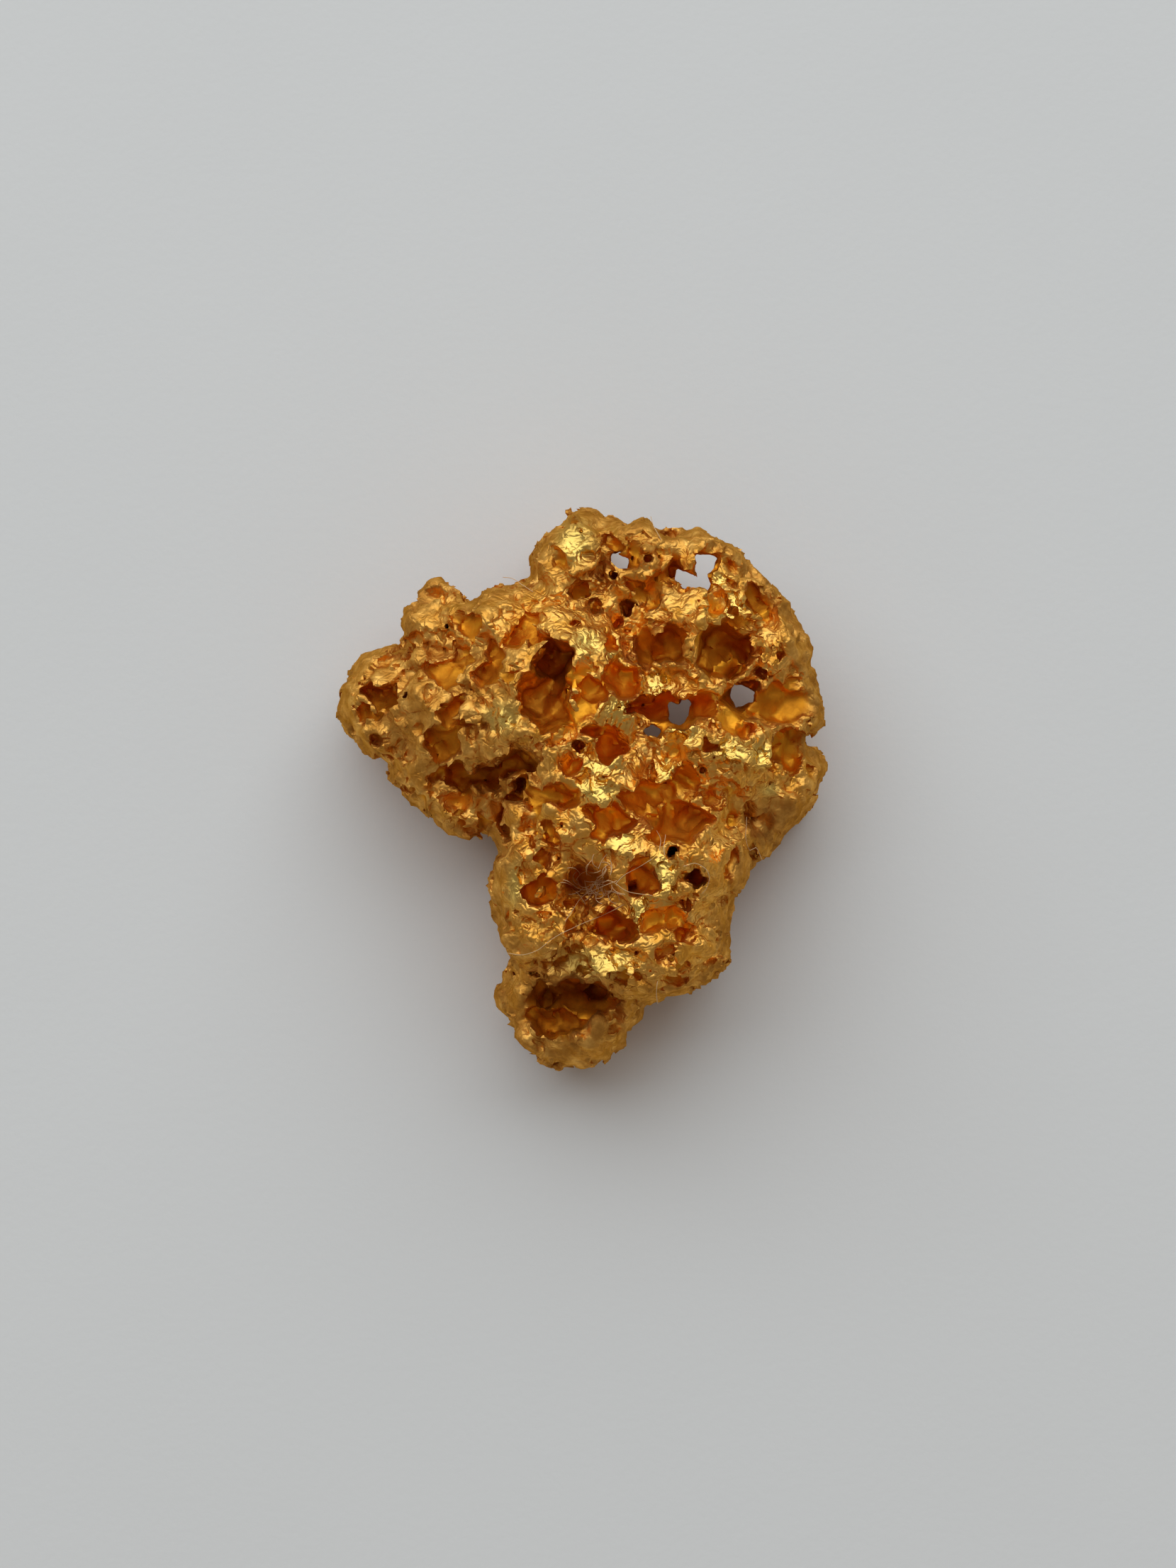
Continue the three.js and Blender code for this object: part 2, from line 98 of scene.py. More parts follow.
# Lumps: middle x, y, z and half sizes x, y, z
lumps = [
    # Left lobe and its knob
    [-9.3, 3.9, 4.4, 3.0, 3.2, 3.9], [-7.6, 7.9, 5.4, 1.5, 1.6, 2.4], [-7.0, 9.4, 5.0, 1.25, 1.2, 1.6],
    [-4.2, 7.8, 6.0, 2.8, 2.6, 4.3], [-6.3, 3.6, 5.1, 3.6, 3.9, 5.5], [-7.0, 0.8, 4.5, 2.9, 2.8, 3.6],
    [-5.0, -0.3, 4.8, 2.6, 2.6, 3.5],
    # Middle
    [-1.0, 4.5, 7.0, 5.2, 5.2, 5.6], [0.5, -0.5, 7.0, 4.2, 4.2, 5.5], [5.4, 7.3, 7.2, 3.4, 3.2, 4.1],
    [5.8, 2.2, 7.0, 3.6, 3.8, 4.8],
    # Top lobe and the arch round to the right
    [-0.4, 11.0, 4.8, 2.4, 3.2, 5.1], [3.0, 11.1, 7.2, 2.7, 2.5, 3.0], [5.8, 10.7, 7.4, 2.6, 2.4, 2.6],
    [8.2, 9.2, 6.8, 2.4, 2.5, 2.8], [9.6, 6.9, 5.8, 2.1, 2.6, 3.2], [9.4, 4.2, 5.0, 2.8, 2.7, 3.7],
    # Smooth lobe low on the right
    [9.4, 0.3, 3.5, 2.9, 3.0, 3.9], [8.6, -2.0, 3.7, 1.9, 2.0, 2.7],
    # Arm and bottom lobe
    [4.0, -3.3, 6.8, 4.4, 4.0, 5.6], [3.4, -7.0, 6.0, 4.2, 3.7, 5.2], [-2.1, -4.2, 6.0, 2.7, 2.9, 4.4],
    [-1.8, -7.0, 5.3, 2.5, 2.3, 4.5], [5.8, -8.2, 4.8, 1.9, 1.9, 3.6], [-0.7, -10.9, 3.5, 3.6, 3.15, 3.9],
]

# Raised lands: plan place, half sizes, turn in degrees, height above the lumps,
# and for the bright ones the fall of their face towards +Y
lands = [
    [-6.4, 5.2, 0.45, 0.3, 0, 0.1], [-2.5, 7.95, 0.35, 0.1, 0, 0.1], [1.8, 3.7, 0.9, 0.8, 0, 0.35],
    [0.95, 1.05, 0.75, 0.4, 0, 0.3, 0.42], [4.3, 0.7, 0.5, 0.6, -15, 0.3, 0.42],
    [-1.9, 2.6, 0.6, 0.4, 0, 0.4], [-1.5, 1.35, 0.45, 0.35, 30, 0.4], [0.7, -0.45, 1.2, 0.65, 0, 0.45],
    [1.95, -2.75, 0.7, 0.5, 0, 0.35, 0.42], [3.95, -4.5, 0.55, 1.0, 0, 0.35, 0.4],
    [4.95, -5.2, 0.25, 1.3, 3, 0.35], [-2.6, -2.0, 0.5, 1.0, -20, 0.5], [-3.4, -4.8, 0.25, 1.2, 0, 0.25],
    [-2.1, -6.35, 1.4, 0.35, -24, 0.4], [-0.3, -8.75, 1.1, 0.5, 8, 0.35, 0.42],
    [1.6, -8.45, 1.1, 0.6, -5, 0.4, 0.42], [3.4, -9.4, 0.9, 0.6, 0, 0.4], [6.4, -7.2, 0.3, 0.25, 0, 0.35],
    [5.1, -8.2, 0.35, 0.3, 0, 0.35], [6.5, -8.1, 0.35, 0.2, 0, 0.3], [3.3, -8.8, 0.35, 0.3, 0, 0.3],
    [2.9, -6.4, 0.25, 0.5, 0, 0.35], [7.5, 1.75, 0.85, 0.45, -10, 0.3, 0.42],
    [8.9, 1.6, 0.45, 0.45, 0, 0.25, 0.42], [3.75, 5.05, 0.65, 0.6, 10, 0.2, 0.42],
    [5.0, 2.5, 0.85, 0.4, -5, 0.3, 0.42], [9.3, -0.2, 0.3, 0.2, 0, 0.3], [10.3, -0.3, 0.3, 0.3, 0, 0.2],
    [7.6, -2.2, 0.3, 0.3, 0, 0.3], [6.2, -1.85, 0.2, 0.15, 0, 0.3], [8.4, 0.5, 0.3, 0.2, 0, 0.3],
    [3.2, -2.3, 0.3, 0.4, 0, 0.3], [-4.5, -0.3, 0.4, 0.3, 0, 0.3], [-2.2, 9.3, 1.2, 0.6, 0, 0.2],
    [3.0, 1.7, 0.9, 0.7, 0, 0.3], [7.2, 9.0, 1.0, 0.6, 0, 0.25, 0.35], [5.2, 9.2, 0.9, 0.45, 0, 0.25],
    [-0.4, 12.1, 0.6, 0.7, 0, 0.2], [5.6, 7.0, 0.35, 1.3, 0, 0.5],
]

# Angular hollows: plan place, half sizes, turn in degrees, depth below the lumps
hollows = [
    # Left lobe
    [-9.85, 4.4, 0.95, 0.85, 10, 1.8], [-10.1, 2.4, 0.6, 0.45, -30, 0.9], [-9.7, 6.1, 0.5, 0.35, 0, 0.5],
    [-6.7, 5.65, 1.2, 0.65, 0, 1.2], [-6.15, 3.6, 0.95, 0.6, 8, 1.1], [-6.9, 2.05, 0.9, 0.8, 0, 1.2],
    [-4.8, 5.7, 0.6, 0.55, 0, 0.9], [-3.5, 5.4, 0.4, 0.35, 0, 0.8],
    # Above the middle
    [-5.45, 8.0, 0.6, 0.75, 0, 1.1], [-4.3, 6.4, 0.45, 0.85, 0, 1.1], [-2.95, 7.5, 0.9, 0.85, 0, 1.5],
    [-2.5, 8.4, 0.4, 0.25, 0, 1.0], [-0.5, 8.1, 0.45, 0.4, 0, 0.5],
    # Middle
    [-1.25, 5.95, 1.0, 1.3, 0, 3.7], [-1.85, 4.35, 1.25, 1.45, 0, 3.2], [0.5, 5.8, 0.6, 0.3, 0, 0.5],
    [0.5, 4.7, 0.7, 0.7, 0, 1.4], [2.05, 5.2, 0.85, 0.8, 0, 1.5], [4.7, 3.8, 1.9, 0.85, 0, 1.9],
    [5.9, 4.0, 1.1, 0.95, 0, 1.6], [6.1, 2.9, 0.6, 0.4, 0, 1.2], [1.4, 1.95, 0.85, 0.75, 0, 1.6],
    [-0.1, 2.0, 0.45, 0.55, 0, 1.3], [-0.6, 1.1, 0.65, 0.4, 0, 0.8], [0.6, 2.75, 0.85, 0.4, 0, 1.0],
    # Top lobe and arch
    [1.65, 12.0, 0.65, 0.5, 0, 1.0], [3.2, 11.4, 0.35, 0.3, 0, 1.2], [3.45, 10.4, 0.35, 0.2, 0, 0.8],
    [4.3, 10.35, 0.3, 0.25, 0, 0.8], [1.7, 10.5, 0.2, 0.2, 0, 1.5], [3.0, 9.6, 1.25, 0.6, -30, 0.8],
    [0.8, 9.0, 0.45, 0.45, 0, 0.9], [1.75, 8.2, 0.35, 0.4, 0, 1.4], [1.6, 6.95, 0.4, 0.45, 20, 1.1],
    [2.2, 7.1, 0.3, 0.45, 0, 0.9], [3.1, 7.75, 0.25, 0.25, 0, 1.0], [3.2, 6.8, 0.6, 1.15, 0, 1.5],
    [4.35, 7.0, 1.0, 1.05, 0, 2.8], [7.15, 6.65, 1.55, 1.65, 0, 3.0], [7.45, 10.1, 0.3, 0.35, 0, 0.8],
    [8.6, 9.3, 0.6, 0.95, 30, 1.6], [10.05, 7.85, 0.25, 0.15, 0, 0.6],
    # Right
    [9.85, 3.95, 1.7, 1.1, 0, 1.5], [8.0, 4.45, 0.9, 0.85, 0, 2.2], [10.4, 5.1, 0.4, 0.45, 0, 0.7],
    [10.2, 1.9, 1.05, 1.0, 0, 1.1], [8.5, 2.7, 0.9, 0.3, 0, 0.9],
    # Cave between the left lobe and the arm
    [-5.9, 0.45, 0.75, 0.75, 0, 1.8], [-4.5, 0.55, 1.2, 0.6, 6, 1.7], [-3.4, 0.95, 1.2, 0.55, 0, 3.0],
    [-3.05, -0.25, 0.6, 0.85, 0, 2.2], [-3.4, -0.8, 0.6, 0.6, 0, 1.8], [-1.6, -0.55, 1.35, 0.6, 0, 1.9],
    [-3.7, -2.0, 0.35, 0.8, -15, 1.6],
    # Arm
    [-1.5, -2.4, 0.45, 0.95, 28, 1.6], [-2.1, -3.4, 0.4, 0.35, 0, 0.9], [-2.05, -5.3, 1.0, 0.8, 0, 1.3],
    [0.4, -4.7, 1.2, 0.75, 0, 0.9], [-1.0, -6.0, 0.45, 0.3, 0, 1.0], [0.2, -6.6, 1.1, 0.75, 0, 1.1],
    [1.65, -7.05, 1.15, 0.75, -10, 2.6], [2.75, -4.75, 0.95, 0.85, -10, 1.4], [2.4, -4.8, 0.3, 0.3, 0, 2.2],
    [-0.5, -8.0, 0.7, 0.35, 0, 0.6], [4.9, -1.85, 1.45, 1.0, 30, 2.3], [3.5, -0.6, 1.15, 0.8, 0, 1.3],
    [1.4, -1.8, 0.95, 0.65, -20, 1.4], [0.85, -2.5, 0.5, 0.35, 0, 0.8], [4.45, -3.3, 0.42, 0.36, 0, 4.0],
    [4.5, -4.05, 0.22, 0.22, 0, 3.0], [5.6, -4.5, 0.55, 0.6, 0, 2.6], [5.45, -5.55, 0.2, 0.35, 0, 1.6],
    [5.7, -6.4, 0.22, 0.13, 30, 1.4], [5.0, -7.35, 0.4, 0.45, 0, 1.0], [7.5, -1.5, 0.35, 0.35, 0, 1.2],
    [6.0, 0.45, 0.28, 0.5, 10, 1.2], [7.1, 0.1, 1.0, 0.13, -18, 0.7], [8.5, -3.3, 0.3, 0.42, 0, 1.5],
    [3.9, -8.2, 0.5, 0.4, 0, 0.7], [-3.4, -8.8, 0.17, 0.3, 0, 0.9],
    # Bottom lobe
    [-0.45, -10.9, 2.35, 1.55, 0, 2.0], [-1.6, -10.3, 0.6, 0.8, 0, 2.8], [0.7, -10.2, 0.9, 0.6, 0, 2.8],
    [-1.1, -11.6, 1.7, 0.75, 0, 2.3], [2.0, -11.2, 0.6, 0.13, 0, 1.0], [0.1, -13.5, 0.12, 0.09, 0, 0.6],
]

# Fine cuts and dark pockets between the hollows, and small knobs in them
smallCuts = [
    [-4.45, 1.9, 0.1, 0.5, 0, 0.5], [-9.95, 5.45, 0.12, 0.4, -20, 0.5], [-9.9, 2.6, 0.12, 0.4, 15, 0.5],
    [-8.85, 6.1, 0.12, 0.5, -50, 0.5], [-6.2, 4.15, 0.6, 0.1, 12, 0.6], [-1.5, 7.65, 0.35, 0.12, 30, 0.6],
    [7.5, 11.0, 0.4, 0.12, -40, 0.6], [7.3, 8.7, 0.5, 0.1, -15, 0.5], [5.6, 8.85, 0.6, 0.1, -20, 0.5],
    [9.1, 6.1, 0.12, 0.4, 10, 0.8], [9.7, 6.2, 0.12, 0.35, -10, 0.7], [-7.65, -0.4, 0.16, 0.3, 0, 0.9],
    [-6.95, -1.45, 0.15, 0.25, 0, 0.8], [11.2, -0.55, 0.14, 0.25, 0, 0.6], [4.5, -7.5, 0.1, 0.4, 5, 0.7],
    [2.3, -9.3, 0.16, 0.35, 0, 0.7], [-2.2, -9.25, 0.5, 0.12, -15, 0.6], [-3.5, 3.2, 0.5, 0.15, -10, 0.9],
    [-2.55, 2.75, 0.25, 0.14, 0, 0.8], [-2.95, 0.15, 0.2, 0.25, 0, 0.8], [3.75, -3.15, 0.15, 0.22, 0, 0.9],
    [2.6, -8.2, 0.2, 0.2, 0, 0.7], [6.4, 7.2, 0.45, 0.35, 10, 2.9], [5.5, 6.6, 0.18, 0.3, 0, 0.4],
]
smallKnobs = [
    [-1.85, -5.2, 0.25, 0.2, 0, -0.5], [3.5, -1.15, 0.35, 0.28, 0, -0.4], [0.5, -6.5, 0.22, 0.25, 0, 0.1],
    [-3.3, -5.2, 0.2, 0.7, 0, 0.3], [-0.4, -10.7, 0.6, 0.8, 20, -1.9],
    [-1.7, -11.15, 0.45, 0.15, -25, -1.5], [1.2, -12.0, 0.6, 0.5, 0, 0.2], [-8.7, 1.2, 0.2, 0.9, 5, 0.3],
    [-3.15, -1.45, 0.3, 0.5, 30, 0.6], [5.55, 10.75, 0.22, 0.3, 20, -0.1], [7.2, 6.0, 0.5, 0.4, 0, -1.6],
    [-0.2, 11.7, 0.9, 0.12, 25, 0.25], [-0.4, 12.5, 0.5, 0.14, 10, 0.25], [0.1, 10.9, 0.7, 0.12, 20, 0.2],
    [2.2, 2.9, 0.5, 0.12, -30, 0.3], [-5.2, 2.0, 0.5, 0.4, 10, 0.35], [-5.6, -0.4, 1.3, 0.18, -8, 0.15],
    [0.45, -5.9, 0.2, 0.3, 0, -0.3], [4.05, -0.95, 0.4, 0.3, 0, -0.5], [-3.9, 2.2, 0.5, 0.3, -15, 0.35],
    [-5.3, 3.6, 1.0, 0.4, 12, 0.35], [8.7, -0.9, 0.5, 0.4, 30, 0.3],
]

# Openings right through: plan place, half sizes, turn in degrees
openings = [
    [1.9, 11.33, 0.56, 0.34, -18], [6.2, 11.2, 0.55, 0.44, 0], [6.05, 10.2, 0.3, 0.98, 4],
    [5.35, 10.2, 0.95, 0.34, -32], [4.75, 10.55, 0.22, 0.38, 0], [2.5, 7.77, 0.36, 0.2, 0],
    [7.95, 4.52, 0.44, 0.38, 0], [11.6, 2.35, 0.5, 0.3, 0], [4.77, 3.62, 0.36, 0.46, 0],
    [5.15, 4.05, 0.14, 0.3, 0], [3.5, 2.75, 0.42, 0.28, -10], [6.35, 2.97, 0.2, 0.16, 0],
]

# How lands, hollows and openings are shaped
plotForm = {
    "margin": 1.6,             # how far round a plot the gold is changed
    "slopeReach": 0.5,
    "steepest": 0.8,
    "landSlope": 0.8,          # how far a land follows the slope of the lumps
    "hollowSlope": 0.5,
    "landThickness": 1.5,
    "landTilt": 0.4,
    "brightTilt": 0.15,
    "deepest": 6,
    "warp": 0.1,
    "fineWarp": 0.035,
    "floorTilt": 0.6,
    "floorLean": 0.25,
    "bowl": 0.12,
}

# Hollows below and round the sides, spread evenly by irrational steps
hiddenHollows = {
    "planSize": (24, 28),
    "longStep": 0.618,
    "shortStep": 0.382,
    "turnStep": 40,
    "underCount": 90,
    "stepX": 0.7548777,
    "stepY": 0.5698403,
    "rimMargin": 1.3,
    "restMargin": 2.4,
    "restPlaces": [[-6.3, 3.4], [-0.3, 10.9], [9.3, 0.5], [-0.8, -10.8]],
    "sideStep": 2.3,
    "sideLow": 1.6,
    "sideRise": 1.5,
    "sideInset": 0.97,
    "seed": 4,
}

# Tarnish and dirt, and painted shade: the cave, the valley by the arm's knob, the bottom lobe under the arm,
# and broad patches over the left lobe and the top lobe are darkened as shade. Plan place, half sizes,
# strength
stainsAndShade = [
    [-4.0, 0.2, 2.8, 1.4, 0.6], [-0.6, -10.9, 2.8, 2.4, 1.0], [9.8, -2.2, 1.9, 1.5, 0.7],
    [0.6, -4.8, 1.0, 0.8, 0.6], [-9.9, 4.4, 1.2, 1.2, 0.4], [3.2, 9.9, 1.4, 0.5, 0.4],
    [7.2, -8.6, 0.8, 1.2, 0.5], [-3.6, -2.2, 0.5, 0.9, 0.5], [-7.8, 4.0, 4.6, 4.8, 0.6],
    [1.5, 11.8, 4.2, 2.3, 0.45], [9.9, 4.0, 1.7, 1.1, 0.6], [4.9, -1.6, 1.4, 1.0, 0.6],
    [7.2, 6.3, 1.3, 1.2, 0.3], [4.3, 7.0, 1.3, 1.1, 0.6], [8.9, 4.1, 0.9, 0.9, 0.5],
]

# Polished faces with a painted highlight: plan place and half sizes
polishHighlightPlaces = [
    [4.0, -4.5, 0.6, 1.0], [1.9, -2.75, 0.7, 0.6], [0.6, -8.7, 1.9, 0.6], [0.95, 1.05, 0.9, 0.5],
    [4.3, 0.7, 0.6, 0.7], [7.5, 1.75, 1.0, 0.6], [3.75, 5.05, 0.7, 0.7], [5.0, 2.55, 0.9, 0.5],
    [7.2, 9.0, 1.0, 0.6], [6.8, 10.3, 0.4, 0.35], [8.9, 1.6, 0.6, 0.6], [2.9, -6.2, 0.5, 0.8],
    [-0.3, 12.1, 0.8, 1.0], [-3.3, -4.9, 0.3, 0.9], [9.3, -0.15, 0.4, 0.3], [2.0, 3.8, 0.9, 0.8],
    [1.6, 6.6, 0.4, 0.5], [0.3, 7.2, 0.7, 0.6], [-3.9, 3.4, 0.8, 0.7], [0.7, -0.3, 1.1, 0.6],
]

# Where it is worn smooth: the lobe low on the right, and less so the rim. A narrower rim is darkened with
# painted shade
wornForm = {
    "lobe": [9.8, -2.0, 1.6, 1.3],
    "lobeEdge": 1.6,
    "rim": (1.3, 0.9),
    "rimShare": 0.4,
    "shadedRim": (1.0, 0.7),
    "shadedRimShare": 0.75,
}

# Small angular pits all over
poreForm = {
    "seed": 5,
    "tries": 15000,
    "band": 0.14,
    "spared": 0.8,
    "landSpared": 0.85,
    "landsFrom": 4,
    "lowest": 0.3,
    "size": (0.2, 0.8),
    "lowSize": (0.3, 1.0),     # low on the sides
    "lowFrom": 3.3,
    "fewLarge": 2.2,
    "sides": 9,
    "reach": 1.2,              # the farthest corners, in sizes
    "lip": 0.05,
    "lipWidth": 0.12,
}

# Crystal faces all over. The calms say how much weaker they are in hollows, on worn and on bright places
reliefNames = "size", "step", "tilt", "crease", "creaseWidth", "seed", "hollowCalm"
reliefLayers = [
    dict(zip(reliefNames, (1.7, 0.4, 1.4, 0.25, 0.08, 11, 0.35))),
    dict(zip(reliefNames, (0.85, 0.2, 1.3, 0.3, 0.12, 12, 0.7))),
    dict(zip(reliefNames, (0.45, 0.09, 1.3, 0.2, 0.15, 13, 0.85))),
]
reliefForm = {"band": 0.6, "hollowDepth": 0.7, "wornCalm": 0.8, "brightCalm": 0.45, "bend": 0.3}
wrinkleForm = {"spacing": 0.7, "rise": 0.16, "hollowCalm": 0.8, "brightCalm": 0.3}


def smoothMin(a, b, blend):
    share = np.clip(0.5 + 0.5 * (b - a) / blend, 0, 1)
    return b + (a - b) * share - blend * share * (1 - share)


def smoothMax(a, b, blend):
    return -smoothMin(-a, -b, blend)


def spreadAt(z):  # how far the camera sees forms spread and shift at a height
    rise = z - nuggetForm["widestHeight"]
    return 1 + nuggetForm["flarePerMm"] * rise, nuggetForm["leanPerMm"] * rise


def planPlace(x, y, z):  # where a point stands in the lists, which hold places at the widest height
    spread, lean = spreadAt(z)
    middleX, middleY = nuggetForm["planMiddle"]
    return (x - middleX) * spread + middleX, (y - middleY) * spread + middleY + lean


def solidPlace(planX, planY, z):  # the other way round
    spread, lean = spreadAt(z)
    middleX, middleY = nuggetForm["planMiddle"]
    return (planX - middleX) / spread + middleX, (planY - lean - middleY) / spread + middleY


def lumpDistance(x, y, z, lump):
    cx, cy, cz, rx, ry, rz = lump
    dx, dy, dz = (x - cx) / rx, (y - cy) / ry, (z - cz) / rz
    far = np.sqrt(dx * dx + dy * dy + dz * dz)
    slope = np.sqrt((dx / rx) ** 2 + (dy / ry) ** 2 + (dz / rz) ** 2)
    return far * (far - 1) / np.maximum(slope, 1e-6)


def lumpsAt(x, y, z):
    value = np.full(np.shape(x), 50.0, np.float32)
    for lump in lumps:
        value = smoothMin(value, lumpDistance(x, y, z, lump), nuggetForm["lumpBlend"])
    return value


def swell(x, y, z):  # low swells that keep the sides from being smooth
    broad = np.sin(1.7 * x + 0.4) * np.sin(1.9 * y + 1.1) * np.sin(1.6 * z + 0.7)
    narrow = np.sin(3.7 * x + 1.9 * z) * np.sin(3.3 * y - 1.7 * z + 0.6)
    return nuggetForm["broadSwell"] * broad + nuggetForm["narrowSwell"] * narrow


def curvePoints(a, b, c, d, steps):  # from b towards c on a smooth curve through all four
    found = []
    for t in np.arange(steps) / steps:
        bend = (2 * a - 5 * b + 4 * c - d) * t * t + (3 * b - a - 3 * c + d) * t ** 3
        found.append(b + 0.5 * ((c - a) * t + bend))
    return found


def smoothOutline(points, steps=4):
    points = np.array(points)
    around = [np.roll(points, shift, axis=0) for shift in (1, 0, -1, -2)]
    return np.array([place for near in zip(*around) for place in curvePoints(*near, steps)])


outline = smoothOutline(outlinePoints)


def outlineDistance(x, y):  # negative inside
    nearest = np.full(np.shape(x), 1e9)
    inside = np.zeros(np.shape(x), bool)
    for (ax, ay), (bx, by) in zip(outline, np.roll(outline, -1, axis=0)):
        ex, ey = bx - ax, by - ay
        along = np.clip(((x - ax) * ex + (y - ay) * ey) / (ex * ex + ey * ey), 0, 1)
        nearest = np.minimum(nearest, np.hypot(x - ax - along * ex, y - ay - along * ey))
        if ey:
            inside ^= ((ay > y) != (by > y)) & (x < ax + (y - ay) / ey * ex)
    return np.where(inside, -nearest, nearest)


planStep = 0.1
planLow = np.array([-15.0, -17.0])
planAxes = [np.arange(low, -low, planStep) for low in planLow]
planDistance = outlineDistance(*np.meshgrid(*planAxes, indexing="ij")).astype(np.float32)


def planLookup(x, y):  # distance to the outline, read from the plan grid
    u = np.clip((x - planLow[0]) / planStep, 0, planDistance.shape[0] - 2)
    v = np.clip((y - planLow[1]) / planStep, 0, planDistance.shape[1] - 2)
    i, j = u.astype(np.int32), v.astype(np.int32)
    u, v = u - i, v - j
    near = planDistance[i, j] * (1 - v) + planDistance[i, j + 1] * v
    far = planDistance[i + 1, j] * (1 - v) + planDistance[i + 1, j + 1] * v
    return near * (1 - u) + far * u


def rimAt(x, y, z):  # the rim draws in and out with height, and reaches the outline on every side
    wave = 2.1 * z + 1.5 * np.sin(0.9 * x) + 1.7 * np.sin(0.8 * y)
    return planLookup(x, y) - nuggetForm["rimAllowance"] + nuggetForm["rimDraw"] * (1 - np.cos(wave))


def surfaceHeight(x, y, levels):  # first solid height along the levels at a plan place
    values = lumpsAt(np.full(len(levels), x), np.full(len(levels), y), levels)
    solid = np.nonzero(values < 0)[0]
    return levels[solid[0]] if len(solid) else levels[-1]


levelsDown = np.arange(nuggetForm["height"] + 0.5, -1, -nuggetForm["levelStep"])


def topAt(x, y):
    return surfaceHeight(x, y, levelsDown)


def underAt(x, y):
    return surfaceHeight(x, y, levelsDown[::-1])


def plotPlane(spot, share, heightAt):  # height and part of the slope of the surface at a plot
    x, y = spot[:2]
    reach, steepest = plotForm["slopeReach"], plotForm["steepest"]
    height = heightAt(x, y)
    slopeX = np.clip(heightAt(x + reach, y) - heightAt(x - reach, y), -steepest, steepest) * share
    slopeY = np.clip(heightAt(x, y + reach) - heightAt(x, y - reach), -steepest, steepest) * share
    return lambda px, py: height + slopeX * (px - x) + slopeY * (py - y)


class Plot:  # angular outline of a land or hollow in plan, its sides and floor set by its own draw
    def __init__(self, spot):
        self.spot = spot
        cx, cy, halfX, halfY, turn = spot[:5]
        self.middle = cx, cy
        draw = np.random.default_rng([round(abs(cx) * 100), round(abs(cy) * 100), cx > 0, cy > 0])
        count = draw.integers(5, 8)
        around = (np.arange(count) + draw.uniform(-0.28, 0.28, count)) * 2 * math.pi / count
        normals = np.stack([np.cos(around) / halfX, np.sin(around) / halfY], axis=1)
        length = np.hypot(*normals.T)
        normals /= length[:, None]
        self.reach = draw.uniform(0.94, 1.12, count) / length
        taper = draw.uniform(0.02, 0.3, count) + 0.55 * np.maximum(-normals[:, 1], 0)
        self.taper = np.minimum(taper, 0.45 * self.reach / max(spot[5], 0.3)) if len(spot) > 5 else taper
        cosine, sine = math.cos(math.radians(turn)), math.sin(math.radians(turn))
        self.normals = normals @ np.array([[cosine, sine], [-sine, cosine]])
        steepest = plotForm["floorTilt"]
        self.floorTilt = draw.uniform(-steepest, steepest, (3, 2)) - [0, plotForm["floorLean"]]
        self.bowl = plotForm["bowl"] * min(halfX, halfY)

    def distance(self, x, y, z, below=0):
        warp, fine = plotForm["warp"], plotForm["fineWarp"]
        ux = x + warp * np.sin(3.9 * y + 0.9 * z + 1.3) + fine * np.sin(9.1 * y - 3.7 * x) - self.middle[0]
        uy = y + warp * np.sin(4.3 * x - 0.8 * z + 0.4) + fine * np.sin(8.3 * x + 4.1 * y) - self.middle[1]
        sides = [nx * ux + ny * uy - reach + taper * below
                 for (nx, ny), reach, taper in zip(self.normals, self.reach, self.taper)]
        return np.maximum.reduce(sides)

    def floor(self, x, y):
        dx, dy = x - self.middle[0], y - self.middle[1]
        return np.maximum.reduce([tiltX * dx + tiltY * dy for tiltX, tiltY in self.floorTilt])


